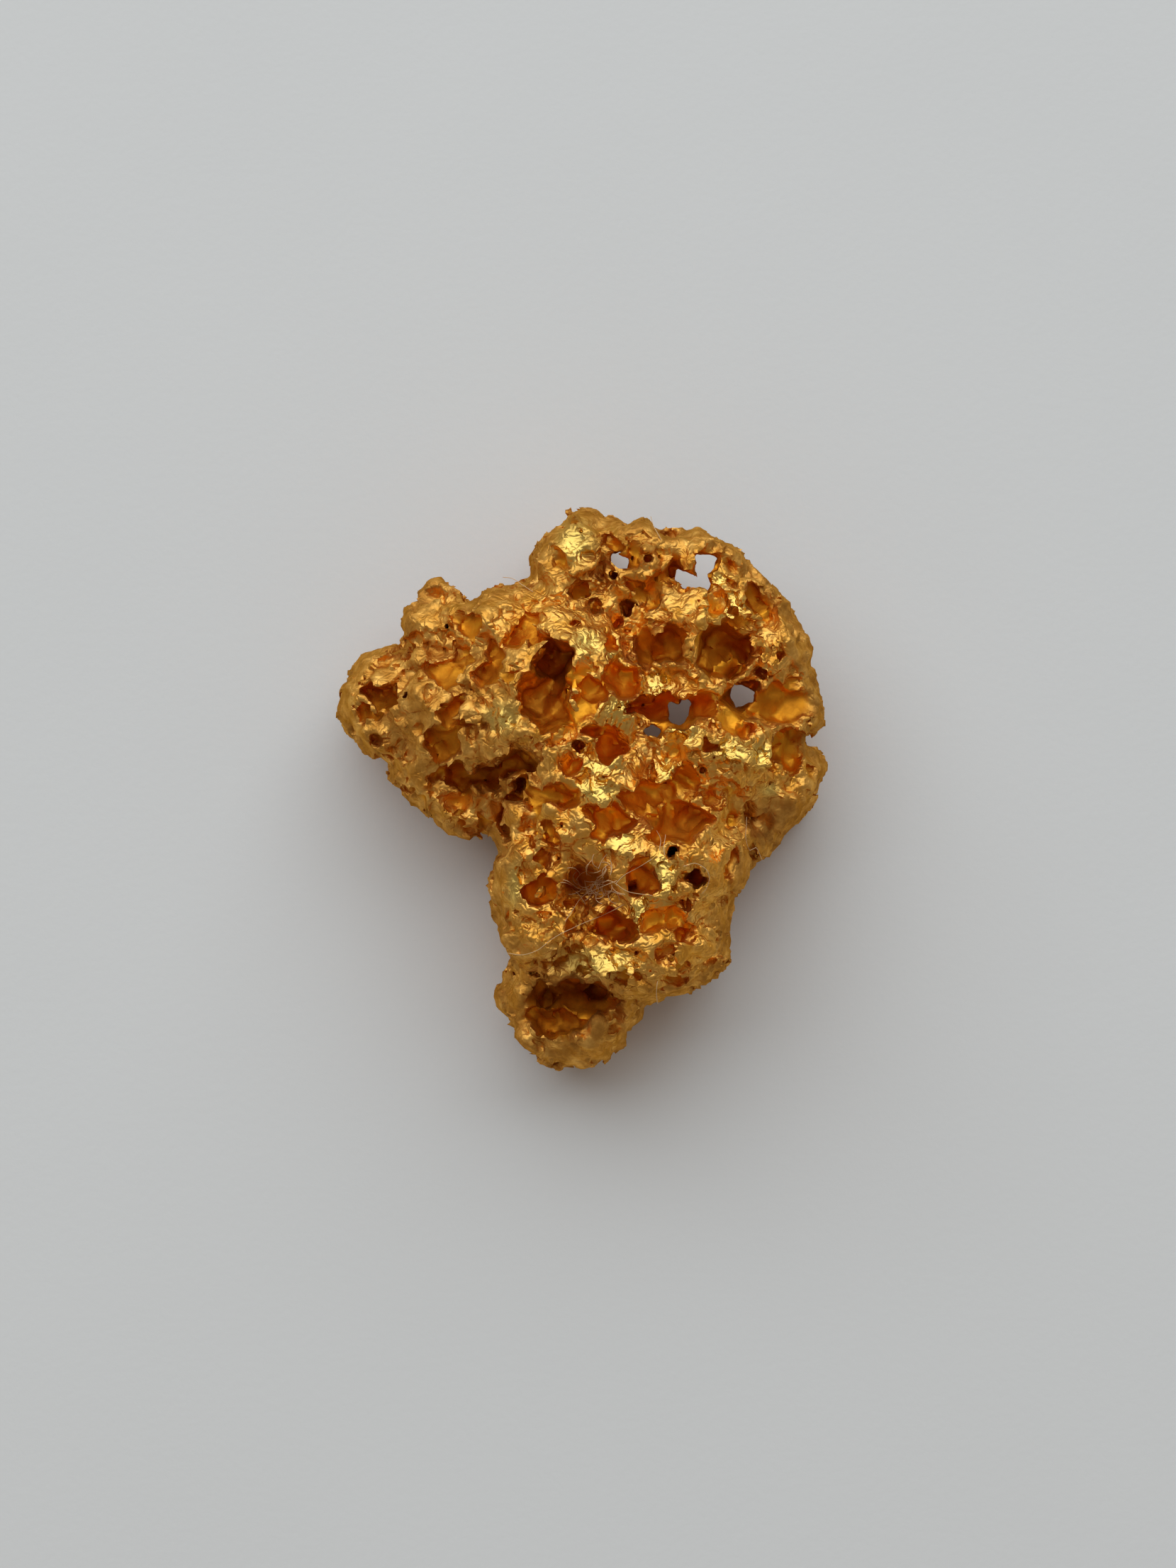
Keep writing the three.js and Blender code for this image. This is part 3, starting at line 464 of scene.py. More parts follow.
class NuggetField:  # values on a grid, negative in the gold
    def __init__(self, step):
        self.step = step
        self.axes = [np.arange(round(a / step), round(b / step)) * step
                     for a, b in zip(nuggetForm["low"], nuggetForm["high"])]
        self.low = np.array([axis[0] for axis in self.axes])
        x, y, z = (array.astype(np.float32) for array in np.meshgrid(*self.axes, indexing="ij"))
        self.trueX, self.trueY, self.z = x, y, z
        self.x, self.y = planPlace(x, y, z)
        body = lumpsAt(self.x, self.y, z) + swell(self.x, self.y, z)
        self.body = smoothMax(body, rimAt(self.x, self.y, z), nuggetForm["rimBlend"]).astype(np.float32)
        self.value = self.body.copy()
        self.roof = self.body.copy()

    def window(self, place, reach):  # part of the grid round a place
        ranges = [np.searchsorted(axis, [at - reach, at + reach]) for axis, at in zip(self.axes, place)]
        return tuple(slice(a, b) for a, b in ranges)

    def reshape(self, spot, slope, heightAt, change, *more):  # changes the values round a plot
        plane, plot = plotPlane(spot, slope, heightAt), Plot(spot)
        part = self.window(spot[:2], math.hypot(spot[2], spot[3]) + plotForm["margin"])
        x, y, z = self.x[part], self.y[part], self.z[part]
        for values in (self.value, *more):
            values[part] = change(values[part], plot, plane(x, y), x, y, z)

    def raiseLand(self, spot):
        bright = len(spot) > 6
        fall = spot[6] if bright else 0
        tilt = plotForm["brightTilt" if bright else "landTilt"]

        def change(value, plot, surface, x, y, z):
            roof = z - surface - spot[5] + fall * (y - spot[1]) + tilt * plot.floor(x, y)
            side = plot.distance(x, y, z)
            block = np.maximum(np.maximum(side, roof), -roof - plotForm["landThickness"] - spot[5])
            raised = smoothMin(value, block, nuggetForm["edgeBlend"])
            return np.maximum(raised, np.minimum(-side, roof)) if bright else raised
        self.reshape(spot, 0 if bright else plotForm["landSlope"], topAt, change, self.roof)

    def sinkHollow(self, spot):
        def change(value, plot, surface, x, y, z):
            aboveFloor = z - surface + spot[5]
            wall = plot.distance(x, y, z, np.clip(spot[5] - aboveFloor, 0, plotForm["deepest"]))
            lipped = value - nuggetForm["lipRise"] * np.exp(-(wall / nuggetForm["lipWidth"]) ** 2)
            hollow = smoothMin(-wall, aboveFloor - plot.floor(x, y), plot.bowl)
            return smoothMax(lipped, hollow, nuggetForm["edgeBlend"])
        self.reshape(spot, plotForm["hollowSlope"], topAt, change)

    def sinkUnderHollow(self, spot):
        def change(value, plot, surface, x, y, z):
            belowRoof = surface + spot[5] - z
            hollow = np.minimum(-plot.distance(x, y, z), belowRoof + plot.floor(x, y))
            return smoothMax(value, hollow, nuggetForm["edgeBlend"])
        self.reshape(spot, plotForm["hollowSlope"], underAt, change)

    def cutOpening(self, spot):
        def change(value, plot, surface, x, y, z):
            flare = nuggetForm["openingFlare"] * np.clip(surface - z - 1, 0, plotForm["deepest"])
            return smoothMax(value, flare - plot.distance(x, y, z), nuggetForm["edgeBlend"])
        self.reshape(spot, plotForm["hollowSlope"], topAt, change)

    def sinkPit(self, place, size, draw):  # a small angular pit with a raised lip
        form = poreForm
        normals = draw.normal(size=(form["sides"], 3))
        normals /= np.linalg.norm(normals, axis=1)[:, None]
        reach = size * draw.uniform(0.7, 1.15, form["sides"])
        part = self.window(place, 1.3 * size + 0.5)
        dx, dy, dz = self.trueX[part] - place[0], self.trueY[part] - place[1], self.z[part] - place[2]
        far = np.sqrt(dx * dx + dy * dy + dz * dz) - form["reach"] * size
        sides = [nx * dx + ny * dy + nz * dz - side for (nx, ny, nz), side in zip(normals, reach)]
        away = np.maximum.reduce([far] + sides)
        lipped = self.value[part] - form["lip"] * np.exp(-(away / form["lipWidth"]) ** 2)
        self.value[part] = smoothMax(lipped, -away, nuggetForm["edgeBlend"])

    def bodyValue(self, places):
        index = np.round((places - self.low) / self.step).astype(int)
        index = np.clip(index, 0, np.array(self.body.shape) - 1)
        return self.body[tuple(index.T)]

    def sinkPores(self):  # small pits scattered over every side, fewer of them on the lands
        form = poreForm
        draw = np.random.default_rng(form["seed"])
        places = draw.uniform(nuggetForm["low"], nuggetForm["high"], (form["tries"], 3))
        depth = self.bodyValue(places)
        places = places[(np.abs(depth) < form["band"]) & (places[:, 2] > form["lowest"])]
        planX, planY = planPlace(*places.T)
        onLand = patchesShare(planX, planY, lands + smallKnobs) * (places[:, 2] > form["landsFrom"])
        spared = np.maximum(form["spared"] * smoothShare(*places.T), form["landSpared"] * onLand)
        places = places[draw.random(len(places)) > spared]
        for place in places:
            small, large = form["lowSize"] if place[2] < form["lowFrom"] else form["size"]
            self.sinkPit(place, small + (large - small) * draw.random() ** form["fewLarge"], draw)
        print("pores:", len(places))

    def nearSurface(self):  # where the surface runs, the places there, and 1 for those deep in a hollow
        near = np.abs(self.value) < reliefForm["band"]
        places = np.stack([self.trueX[near], self.trueY[near], self.z[near]], axis=1)
        return near, places, np.clip(-self.body[near] / reliefForm["hollowDepth"], 0, 1)

    def addRelief(self, layer):
        near, places, inHollow = self.nearSurface()
        worn = reliefForm["wornCalm"] * smoothShare(*places.T)
        strength = layer["step"] * (1 - layer["hollowCalm"] * inHollow) * (1 - worn)
        bright = reliefForm["brightCalm"] * polishHighlightShare(*places.T)
        self.value[near] += strength * (1 - bright) * crystalRelief(places, layer)

    def addWrinkles(self):
        near, places, inHollow = self.nearSurface()
        bright = wrinkleForm["brightCalm"] * polishHighlightShare(*places.T)
        rise = wrinkleForm["rise"] * (1 - wrinkleForm["hollowCalm"] * inHollow) * (1 - bright)
        self.value[near] -= rise * wrinkles(places)


def patchShare(planX, planY, patch, edge=1.5):  # 1 in the middle of a patch, falling off round its edge
    x, y, halfX, halfY = patch[:4]
    return np.clip(edge - np.hypot((planX - x) / halfX, (planY - y) / halfY), 0, 1)


def patchesShare(planX, planY, patches):
    return np.maximum.reduce([patchShare(planX, planY, patch) for patch in patches])


def rimShare(planX, planY, width, blend):  # 1 at the outline, 0 farther in than the width
    return np.clip((planLookup(planX, planY) + width) / blend, 0, 1)


def smoothShare(x, y, z):  # 1 where it is worn smooth
    planX, planY = planPlace(x, y, z)
    lobe = patchShare(planX, planY, wornForm["lobe"], wornForm["lobeEdge"])
    return np.maximum(lobe, rimShare(planX, planY, *wornForm["rim"]) * wornForm["rimShare"])


def polishHighlightShare(x, y, z):  # 1 on the polished places of the upper side, which get a painted highlight
    onTop = np.clip((z - 3) / 2, 0, 1)
    return onTop * patchesShare(*planPlace(x, y, z), polishHighlightPlaces)


def crystalRelief(places, layer):  # each place takes the height and tilt of its nearest facet
    size = 32
    table = np.random.default_rng(layer["seed"]).random((size, size, size, 7)).astype(np.float32)
    wave = np.sin(places[:, [1, 2, 0]] * 2.6 / layer["size"] + 1.7)
    bent = places + reliefForm["bend"] * layer["size"] * wave
    scaled = (bent / layer["size"]).astype(np.float32)
    base = np.floor(scaled).astype(np.int32)
    nearest = np.full(len(places), 1e9, np.float32)
    second = nearest.copy()
    relief = np.zeros(len(places), np.float32)
    for shift in itertools.product((-1, 0, 1), repeat=3):
        cell = base + np.array(shift, np.int32)
        facet = table[cell[:, 0] % size, cell[:, 1] % size, cell[:, 2] % size]
        away = scaled - cell - facet[:, :3]
        distance = np.einsum("ij,ij->i", away, away)
        height = facet[:, 3] - 0.5 + layer["tilt"] * np.einsum("ij,ij->i", away, facet[:, 4:] - 0.5)
        nearer = distance < nearest
        second = np.where(nearer, nearest, np.minimum(second, distance))
        relief[nearer] = height[nearer]
        nearest[nearer] = distance[nearer]
    gap = np.sqrt(second) - np.sqrt(nearest)
    return relief + layer["crease"] * np.exp(-(gap / layer["creaseWidth"]) ** 2)


def wrinkles(places):  # curved ripples in patches, like crumpled leaf
    bent = places + 0.7 * np.sin(places[:, [1, 2, 0]] * 1.3 + 0.6)
    bent += 0.22 * np.sin(places[:, [2, 0, 1]] * 3.1 + 2.2)
    patch = np.sin(places[:, 0] * 1.3 + 1.1) + np.sin(places[:, 1] * 1.5 + 0.3) + np.sin(places[:, 2] * 1.4)
    rippled = np.zeros(len(places))
    for across, turn in (((0.55, 0.75, 0.45), 1), ((-0.7, 0.35, 0.6), -1)):
        ridge = 1 - np.abs(np.sin(bent @ np.array(across) * math.pi / wrinkleForm["spacing"]))
        rippled += np.clip(0.25 + 0.8 * turn * patch, 0, 1) * ridge ** 1.5
    return rippled


def underPlaces():
    form = hiddenHollows
    places = []
    width, length = form["planSize"]
    for index in range(form["underCount"]):
        x = width * (index * form["stepX"] % 1) - width / 2
        y = length * (index * form["stepY"] % 1) - length / 2
        nearRest = any(math.hypot(x - rx, y - ry) < form["restMargin"] for rx, ry in form["restPlaces"])
        if outlineDistance(np.array(x), np.array(y)) < -form["rimMargin"] and not nearRest:
            size = 0.6 + 0.5 * (index * form["longStep"] % 1)
            depth = 0.8 + 0.8 * (index * form["shortStep"] % 1)
            places.append([x, y, size, size * 0.8, form["turnStep"] * index, depth])
    return places


def sidePlaces():
    form = hiddenHollows
    closed = np.vstack([outline, outline[:1]])
    along = np.concatenate([[0], np.cumsum(np.hypot(*np.diff(closed, axis=0).T))])
    count = int(along[-1] / form["sideStep"])
    places = []
    for index in range(count):
        at = along[-1] * index / count
        x, y = (np.interp(at, along, closed[:, axis]) * form["sideInset"] for axis in (0, 1))
        rise = form["sideLow"] + form["sideRise"] * (index * form["longStep"] % 1)
        places.append([x, y, rise, 0.6 + 0.3 * (index * form["shortStep"] % 1)])
    return places


def nuggetField(step):
    field = NuggetField(step)
    for spot in lands:
        field.raiseLand(spot)
    for spot in hollows + smallCuts:
        field.sinkHollow(spot)
    for spot in smallKnobs:
        field.raiseLand(spot)
    for spot in underPlaces():
        field.sinkUnderHollow(spot)
    for spot in openings:
        field.cutOpening(spot)
    draw = np.random.default_rng(hiddenHollows["seed"])
    for *place, size in sidePlaces():
        field.sinkPit(place, size, draw)
    field.sinkPores()
    print("nugget form set out")
    for layer in reliefLayers:
        field.addRelief(layer)
    field.addWrinkles()
    field.value = np.maximum(field.value, field.roof - nuggetForm["standProud"])
    field.value = smoothMax(field.value, field.z - nuggetForm["highest"], nuggetForm["topBlend"])
    field.value = np.maximum(field.value, -nuggetForm["floorSteepness"] * field.z)
    print("crystal faces added")
    return field


cornerOffsets = [(n & 1, (n >> 1) & 1, n >> 2) for n in range(8)]
cornerPairs = [(n, n | bit) for n in range(8) for bit in (1, 2, 4) if not n & bit]


def oneGroup(corners):  # whether the corners of a cell hang together along its edges
    left = set(corners)
    reached = [left.pop()] if left else []
    while reached:
        here = reached.pop()
        for near in [here ^ bit for bit in (1, 2, 4) if here ^ bit in left]:
            left.remove(near)
            reached.append(near)
    return not left


def cellCodes(value):
    nx, ny, nz = (size - 1 for size in value.shape)
    codes = np.zeros((nx, ny, nz), np.uint8)
    for n, (a, b, c) in enumerate(cornerOffsets):
        codes |= (value[a:a + nx, b:b + ny, c:c + nz] < 0).astype(np.uint8) << n
    return codes


def isDoubtful(code):  # whether the solid or the open corners of a cell fall apart
    solid = [n for n in range(8) if code >> n & 1]
    return not (oneGroup(solid) and oneGroup(set(range(8)) - set(solid)))


def clearDoubtfulCells(value):  # fills corners until the surface passes each cell as one sheet
    doubtful = np.array([isDoubtful(code) for code in range(256)])
    while True:
        cells = np.argwhere(doubtful[cellCodes(value)])
        if not len(cells):
            return
        places = cells[:, None, :] + np.array(cornerOffsets)[None]
        values = value[places[..., 0], places[..., 1], places[..., 2]]
        weakest = np.argmin(np.where(values < 0, 1e9, values), axis=1)
        filled = places[np.arange(len(cells)), weakest]
        value[tuple(filled.T)] = nuggetForm["justSolid"]


# One vertex in each cell that the surface passes, one face on each edge that it crosses
def surfaceFaces(value, low, step):
    codes = cellCodes(value)
    passed = (codes > 0) & (codes < 255)
    cells = np.argwhere(passed)
    number = np.full(passed.shape, -1, np.int32)
    number[passed] = np.arange(len(cells))
    values = [value[cells[:, 0] + a, cells[:, 1] + b, cells[:, 2] + c] for a, b, c in cornerOffsets]
    total = np.zeros((len(cells), 3))
    count = np.zeros(len(cells))
    for p, q in cornerPairs:
        crossed = (values[p] < 0) != (values[q] < 0)
        along = np.where(crossed, values[p] / np.where(crossed, values[p] - values[q], 1), 0)
        start, end = np.array(cornerOffsets[p]), np.array(cornerOffsets[q])
        total += np.where(crossed[:, None], start + along[:, None] * (end - start), 0)
        count += crossed
    vertices = (cells + total / count[:, None]) * step + low
    faces = []
    solid = value < 0
    for axis in range(3):
        forward, second, third = np.roll(np.eye(3, dtype=int), -axis, axis=0)
        inner = tuple(slice(1 - forward[d], -1) for d in range(3))
        ahead = tuple(slice(1, None if forward[d] else -1) for d in range(3))
        start = np.argwhere(solid[inner] != solid[ahead]) + (1 - forward)
        ring = [start - second - third, start - third, start, start - second]
        quads = np.stack([number[tuple(place.T)] for place in ring], axis=1)
        outwards = solid[tuple(start.T)]
        faces.append(np.where(outwards[:, None], quads, quads[:, ::-1]))
    return vertices, np.concatenate(faces)


def largestBody(vertices, faces):  # drops loose crumbs and closed bubbles
    label = np.arange(len(vertices))
    while True:
        lowest = label[faces].min(axis=1)
        fresh = label.copy()
        for corner in range(4):
            np.minimum.at(fresh, faces[:, corner], lowest)
        fresh = fresh[fresh]
        if np.array_equal(fresh, label):
            break
        label = fresh
    names, sizes = np.unique(label, return_counts=True)
    kept = label == names[np.argmax(sizes)]
    renumber = np.cumsum(kept) - 1
    return vertices[kept], renumber[faces[kept[faces[:, 0]]]]


def meshObject(name, vertices, faces):
    mesh = bpy.data.meshes.new(name)
    mesh.vertices.add(len(vertices))
    mesh.vertices.foreach_set("co", np.asarray(vertices, np.float32).ravel())
    mesh.loops.add(faces.size)
    mesh.loops.foreach_set("vertex_index", faces.astype(np.int32).ravel())
    mesh.polygons.add(len(faces))
    mesh.polygons.foreach_set("loop_start", np.arange(0, faces.size, faces.shape[1], dtype=np.int32))
    mesh.update(calc_edges=True)
    thing = bpy.data.objects.new(name, mesh)
    scene.collection.objects.link(thing)
    return thing


def plainMesh(thing):  # turns the modified object into a plain mesh
    view = bpy.context.evaluated_depsgraph_get()
    mesh = bpy.data.meshes.new_from_object(thing.evaluated_get(view))
    thing.modifiers.clear()
    thing.data = mesh
    return thing


def setFinish(thing, field):  # what the finish goes by: depth under the lumps, tarnish and dirt with painted shade, and polish with a painted highlight
    places = np.empty(len(thing.data.vertices) * 3, np.float32)
    thing.data.vertices.foreach_get("co", places)
    places = places.reshape(-1, 3) / mm
    planX, planY = planPlace(*places.T)
    # patches of real dirt and of painted shade, darker where the light falls less
    dirtAndShade = [spot[4] * patchShare(planX, planY, spot) for spot in stainsAndShade]
    # a narrow rim darkened: painted shade of the steep sides
    rim = wornForm["shadedRimShare"] * rimShare(planX, planY, *wornForm["shadedRim"])
    finish = {
        "depth": np.clip(-field.bodyValue(places), 0, 4),
        "stainAndShade": np.maximum.reduce(dirtAndShade + [smoothShare(*places.T), rim]),
        "polishHighlight": polishHighlightShare(*places.T),
    }
    for name, values in finish.items():
        layer = thing.data.attributes.new(name, "FLOAT", "POINT")
        layer.data.foreach_set("value", values.astype(np.float32))


def buildNugget():
    step = nuggetForm["gridStep"]
    field = nuggetField(step)
    clearDoubtfulCells(field.value)
    vertices, faces = surfaceFaces(field.value, field.low, step)
    vertices, faces = largestBody(vertices, faces)
    vertices[np.abs(vertices[:, 2]) < nuggetForm["flatSnap"], 2] = 0
    nugget = meshObject("nuggetSurface", vertices * mm, faces)
    print("nugget surface:", len(faces) * 2, "triangles")
    if len(faces) * 2 > nuggetForm["triangles"]:
        thinning = nugget.modifiers.new("thinning", "DECIMATE")
        thinning.ratio = nuggetForm["triangles"] / (len(faces) * 2)
        plainMesh(nugget)
    for corner in nugget.data.vertices:
        corner.co.z = max(corner.co.z, 0)
    setFinish(nugget, field)
    nugget.data.shade_smooth()
    nugget.data.set_sharp_from_angle(angle=math.radians(nuggetForm["sharpAngle"]))
    return nugget


nugget = buildNugget()
print("nugget made:", len(nugget.data.polygons), "faces")


# Shader maths

class Value:  # a socket that takes part in plain arithmetic
    def __init__(self, graph, socket):
        self.graph, self.socket = graph, socket

    def maths(self, operation, first, second):
        return self.graph.node("Math", {"operation": operation}, {0: first, 1: second})

    def __add__(self, other):
        return self.maths("ADD", self, other)

    def __radd__(self, other):
        return self.maths("ADD", other, self)

    def __sub__(self, other):
        return self.maths("SUBTRACT", self, other)

    def __rsub__(self, other):
        return self.maths("SUBTRACT", other, self)

    def __mul__(self, other):
        return self.maths("MULTIPLY", self, other)

    def __rmul__(self, other):
        return self.maths("MULTIPLY", other, self)


class Graph:
    def __init__(self, name):
        self.material = bpy.data.materials.new(name)
        self.material.use_nodes = True
        self.nodes = self.material.node_tree.nodes
        self.links = self.material.node_tree.links
        self.shader = self.nodes["Principled BSDF"]

    def put(self, socket, value):
        if isinstance(value, Value):
            self.links.new(value.socket, socket)
        else:
            socket.default_value = value

    def node(self, kind, settings=None, sockets=None, output=0):
        made = self.nodes.new("ShaderNode" + kind)
        for name, setting in (settings or {}).items():
            setattr(made, name, setting)
        for name, value in (sockets or {}).items():
            self.put(made.inputs[name], value)
        return Value(self, made.outputs[output])

    def mix(self, share, first, second):
        return self.node("Mix", {"data_type": "RGBA"}, {0: share, 6: first, 7: second}, output=2)

    def between(self, value, limits, kind="LINEAR"):  # 0 at the first limit, 1 at the second
        sockets = {"Value": value, "From Min": limits[0], "From Max": limits[1]}
        return self.node("MapRange", {"interpolation_type": kind}, sockets)

    def noise(self, place, scale, detail, roughness=0.5, output="Fac"):
        sockets = {"Vector": place, "Scale": scale, "Detail": detail, "Roughness": roughness}
        return self.node("TexNoise", {}, sockets, output)

    def finish(self, **sockets):
        for name, value in sockets.items():
            self.put(self.shader.inputs[name.replace("_", " ")], value)
        return self.material


goldFinish = {
    "land": (0.96, 0.52, 0.12, 1),
    "landWarm": (0.86, 0.39, 0.05, 1),
    # hollow: orange of light bounced inside the hollows, painted in; deep: painted shade deep in the hollows
    # and in the folds
    "hollow": (0.9, 0.385, 0.026, 1),
    "deepShade": (0.66, 0.262, 0.022, 1),
    "stainedAndShaded": (0.45, 0.195, 0.04, 1),
    "stainedShadedHollow": (0.44, 0.15, 0.012, 1),
    # a pale yellow painted highlight on the polished places
    "polishedHighlight": (0.97, 0.74, 0.2, 1),
    "rimTint": (0.55, 0.42, 0.3, 1),
    "hollowDepths": (0.12, 0.6),
    "deepShadeDepths": (1.2, 3.0),
    "warmClouds": (0.35, 0.65),
    "stainShadeClouds": (0.3, 0.6),
    "polishHighlightShare": 0.6,
    "foldShade": 0.25,
    "roughLand": 0.42,
    "roughHollow": 0.5,
    "stainShadeRough": 0.15,
    "polishRough": 0.12,
    "glintRough": 0.12,
    "cloudRough": 0.3,
    "cloudScale": 1100,
    "glintScale": 2400,
    "grainScale": 9000,
    "puffScale": 1800,
    "foldScale": 1100,
    "foldWidth": 0.045,
    "bendScale": 1300,
    "bendReach": 0.0009,
    "grainRise": 0.06,
    "foldRise": 0.3,
    "puffRise": 2.9,
    "hollowCalm": 0.85,
    "stainShadeCalm": 0.6,
    "bumpReach": 0.00012,
    "bumpStrength": 0.8,
}


def goldMaterial():
    look = goldFinish
    graph = Graph("nativeGold")

    def attribute(name):
        return graph.node("Attribute", {"attribute_name": name}, output="Fac")

    def fromMiddle(value):
        return graph.node("Math", {"operation": "ABSOLUTE"}, {0: value - 0.5})

    where = graph.node("TexCoord", output="Object")
    # the stain mask: real dirt and wear, with painted shade on the cave, the lobe under the arm and the
    # narrow rim
    depth, stainAndShade = attribute("depth"), attribute("stainAndShade")
    inHollow = graph.between(depth, look["hollowDepths"], "SMOOTHSTEP")
    inDeepShade = graph.between(depth, look["deepShadeDepths"], "SMOOTHSTEP")
    polishHighlight = attribute("polishHighlight") * (1 - inHollow)
    bend = graph.noise(where, look["bendScale"], 2, output="Color")
    reach = (look["bendReach"],) * 3
    bent = graph.node("VectorMath", {"operation": "MULTIPLY_ADD"}, {0: bend, 1: reach, 2: where})
    cells = {"Vector": bent, "Scale": look["glintScale"]}
    glint = graph.node("SeparateColor", {}, {0: graph.node("TexVoronoi", {"feature": "F1"}, cells, "Color")})
    cloud = graph.noise(where, look["cloudScale"], 4, 0.6)
    grain = graph.noise(where, look["grainScale"], 3, 0.6)
    puff = fromMiddle(graph.noise(bent, look["puffScale"], 1))
    crease = fromMiddle(graph.noise(bent, look["foldScale"], 1.5))
    warmer = graph.between(cloud, look["warmClouds"])
    fold = warmer * (1 - graph.between(crease, (0, look["foldWidth"])))

    skin = graph.mix(warmer, look["land"], look["landWarm"])
    skin = graph.mix(look["foldShade"] * fold, skin, look["deepShade"])
    # hollows turn orange as painted bounced light, and darker deep down as painted shade
    colour = graph.mix(inDeepShade, graph.mix(inHollow, skin, look["hollow"]), look["deepShade"])
    # the darker tarnish colour, also used as painted shade
    tarnishAndShade = graph.mix(inHollow, look["stainedAndShaded"], look["stainedShadedHollow"])
    colour = graph.mix(stainAndShade * graph.between(cloud, look["stainShadeClouds"]), colour, tarnishAndShade)
    # polished places mixed towards a pale yellow: a painted highlight
    colour = graph.mix(look["polishHighlightShare"] * polishHighlight, colour, look["polishedHighlight"])
    rough = look["roughLand"] + (look["roughHollow"] - look["roughLand"]) * inHollow
    rough = rough + look["stainShadeRough"] * stainAndShade - look["polishRough"] * polishHighlight
    rough = rough + look["glintRough"] * (glint - 0.5) + look["cloudRough"] * (cloud - 0.5)
    calm = (1 - look["hollowCalm"] * inHollow) * (1 - look["stainShadeCalm"] * stainAndShade)
    height = (look["grainRise"] * grain - look["foldRise"] * fold + look["puffRise"] * puff) * calm
    bump = graph.node("Bump", {}, {
        "Strength": look["bumpStrength"], "Distance": look["bumpReach"], "Height": height})
    return graph.finish(
        Base_Color=colour, Metallic=1.0, Roughness=rough, Specular_Tint=look["rimTint"], Normal=bump)


nugget.data.materials.append(goldMaterial())
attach(nugget, "root")
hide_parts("nugget")
print("gold finished")


# Lint: fine fibres caught on the nugget, each laid over it along plan places

lint = {
    "paths": [
        [(5.0, -3.96), (5.6, -3.8), (6.13, -4.1), (6.3, -4.55), (6.2, -5.0), (5.95, -5.3)],
        [(1.75, -4.66), (0.93, -5.0), (0.23, -5.3), (-0.23, -5.8), (-0.8, -6.65)],
        [(2.1, -5.83), (1.4, -6.2), (0.7, -6.5), (-0.47, -7.0), (-1.4, -7.5), (-2.1, -8.05), (-2.9, -8.3),
         (-3.6, -8.2)],
        [(1.7, -4.8), (2.1, -4.4), (3.0, -3.9), (3.5, -3.6)],
        [(1.7, -4.8), (2.3, -5.2), (3.5, -5.4)],
        [(3.7, -2.2), (3.9, -2.6), (3.85, -3.2)],
        [(4.15, -2.4), (4.05, -3.0), (4.1, -3.4)],
        [(8.16, -1.5), (8.1, -2.45), (8.3, -3.15), (8.6, -3.0), (8.9, -3.6)],
        [(-3.9, 10.45), (-3.3, 10.3), (-2.4, 9.7)],
        [(3.75, -9.6), (3.7, -10.2), (3.75, -10.7)],
        [(3.45, 13.5), (3.6, 13.0), (3.95, 12.3)],
    ],
    "tuftPlace": (0.6, -4.6),
    "tuftSize": (0.9, 0.6),
    "tuftHairs": 44,
    "tuftSteps": 5,
    "tuftStep": 0.16,
    "seed": 21,
    "thickness": 0.016,
    "sides": 5,
    "waviness": 0.0001,
    "waveScale": 900,
    "waveSeed": 3,
    "lift": 0.04,
    "lowest": 0.5,
    "step": 0.12,
    "colour": (0.78, 0.52, 0.27, 1),
}


def tuftPaths(draw):
    paths = []
    for _ in range(lint["tuftHairs"]):
        x, y = (at + size * draw.uniform(-1, 1) for at, size in zip(lint["tuftPlace"], lint["tuftSize"]))
        heading, bend = draw.uniform(0, 2 * math.pi), draw.uniform(-0.5, 0.5)
        path = [(x, y)]
        for _ in range(lint["tuftSteps"]):
            x += lint["tuftStep"] * math.cos(heading)
            y += lint["tuftStep"] * math.sin(heading)
            heading += bend
            path.append((x, y))
        paths.append(path)
    return paths


def smoothPath(points, step):  # even steps along a soft curve through the points
    points = np.array(points)
    points = np.vstack([2 * points[0] - points[1], points, 2 * points[-1] - points[-2]])
    found = []
    for a, b, c, d in zip(points, points[1:], points[2:], points[3:]):
        found += curvePoints(a, b, c, d, max(2, int(np.hypot(*(c - b)) / step)))
    return np.array(found + [points[-2]])


def layOver(path, surface):  # drapes a plan path over the nugget as a taut hair would lie
    heights = []
    for x, y in path:
        top, foot = (np.array([*solidPlace(x, y, z), z]) for z in (14.0, 0.0))
        hit = surface.ray_cast(Vector(top * mm), Vector(foot - top).normalized())[0]
        heights.append(hit.z / mm if hit else np.nan)
    heights = np.array(heights)
    known = ~np.isnan(heights)
    heights = np.interp(np.arange(len(heights)), np.nonzero(known)[0], heights[known])
    heights = np.array([heights[max(0, n - 3):n + 4].max() for n in range(len(heights))])
    heights = np.convolve(np.pad(heights, 2, mode="edge"), np.ones(5) / 5, mode="valid")
    heights = np.maximum(heights, lint["lowest"]) + lint["lift"]
    return [(*solidPlace(x, y, z), z) for (x, y), z in zip(path, heights)]


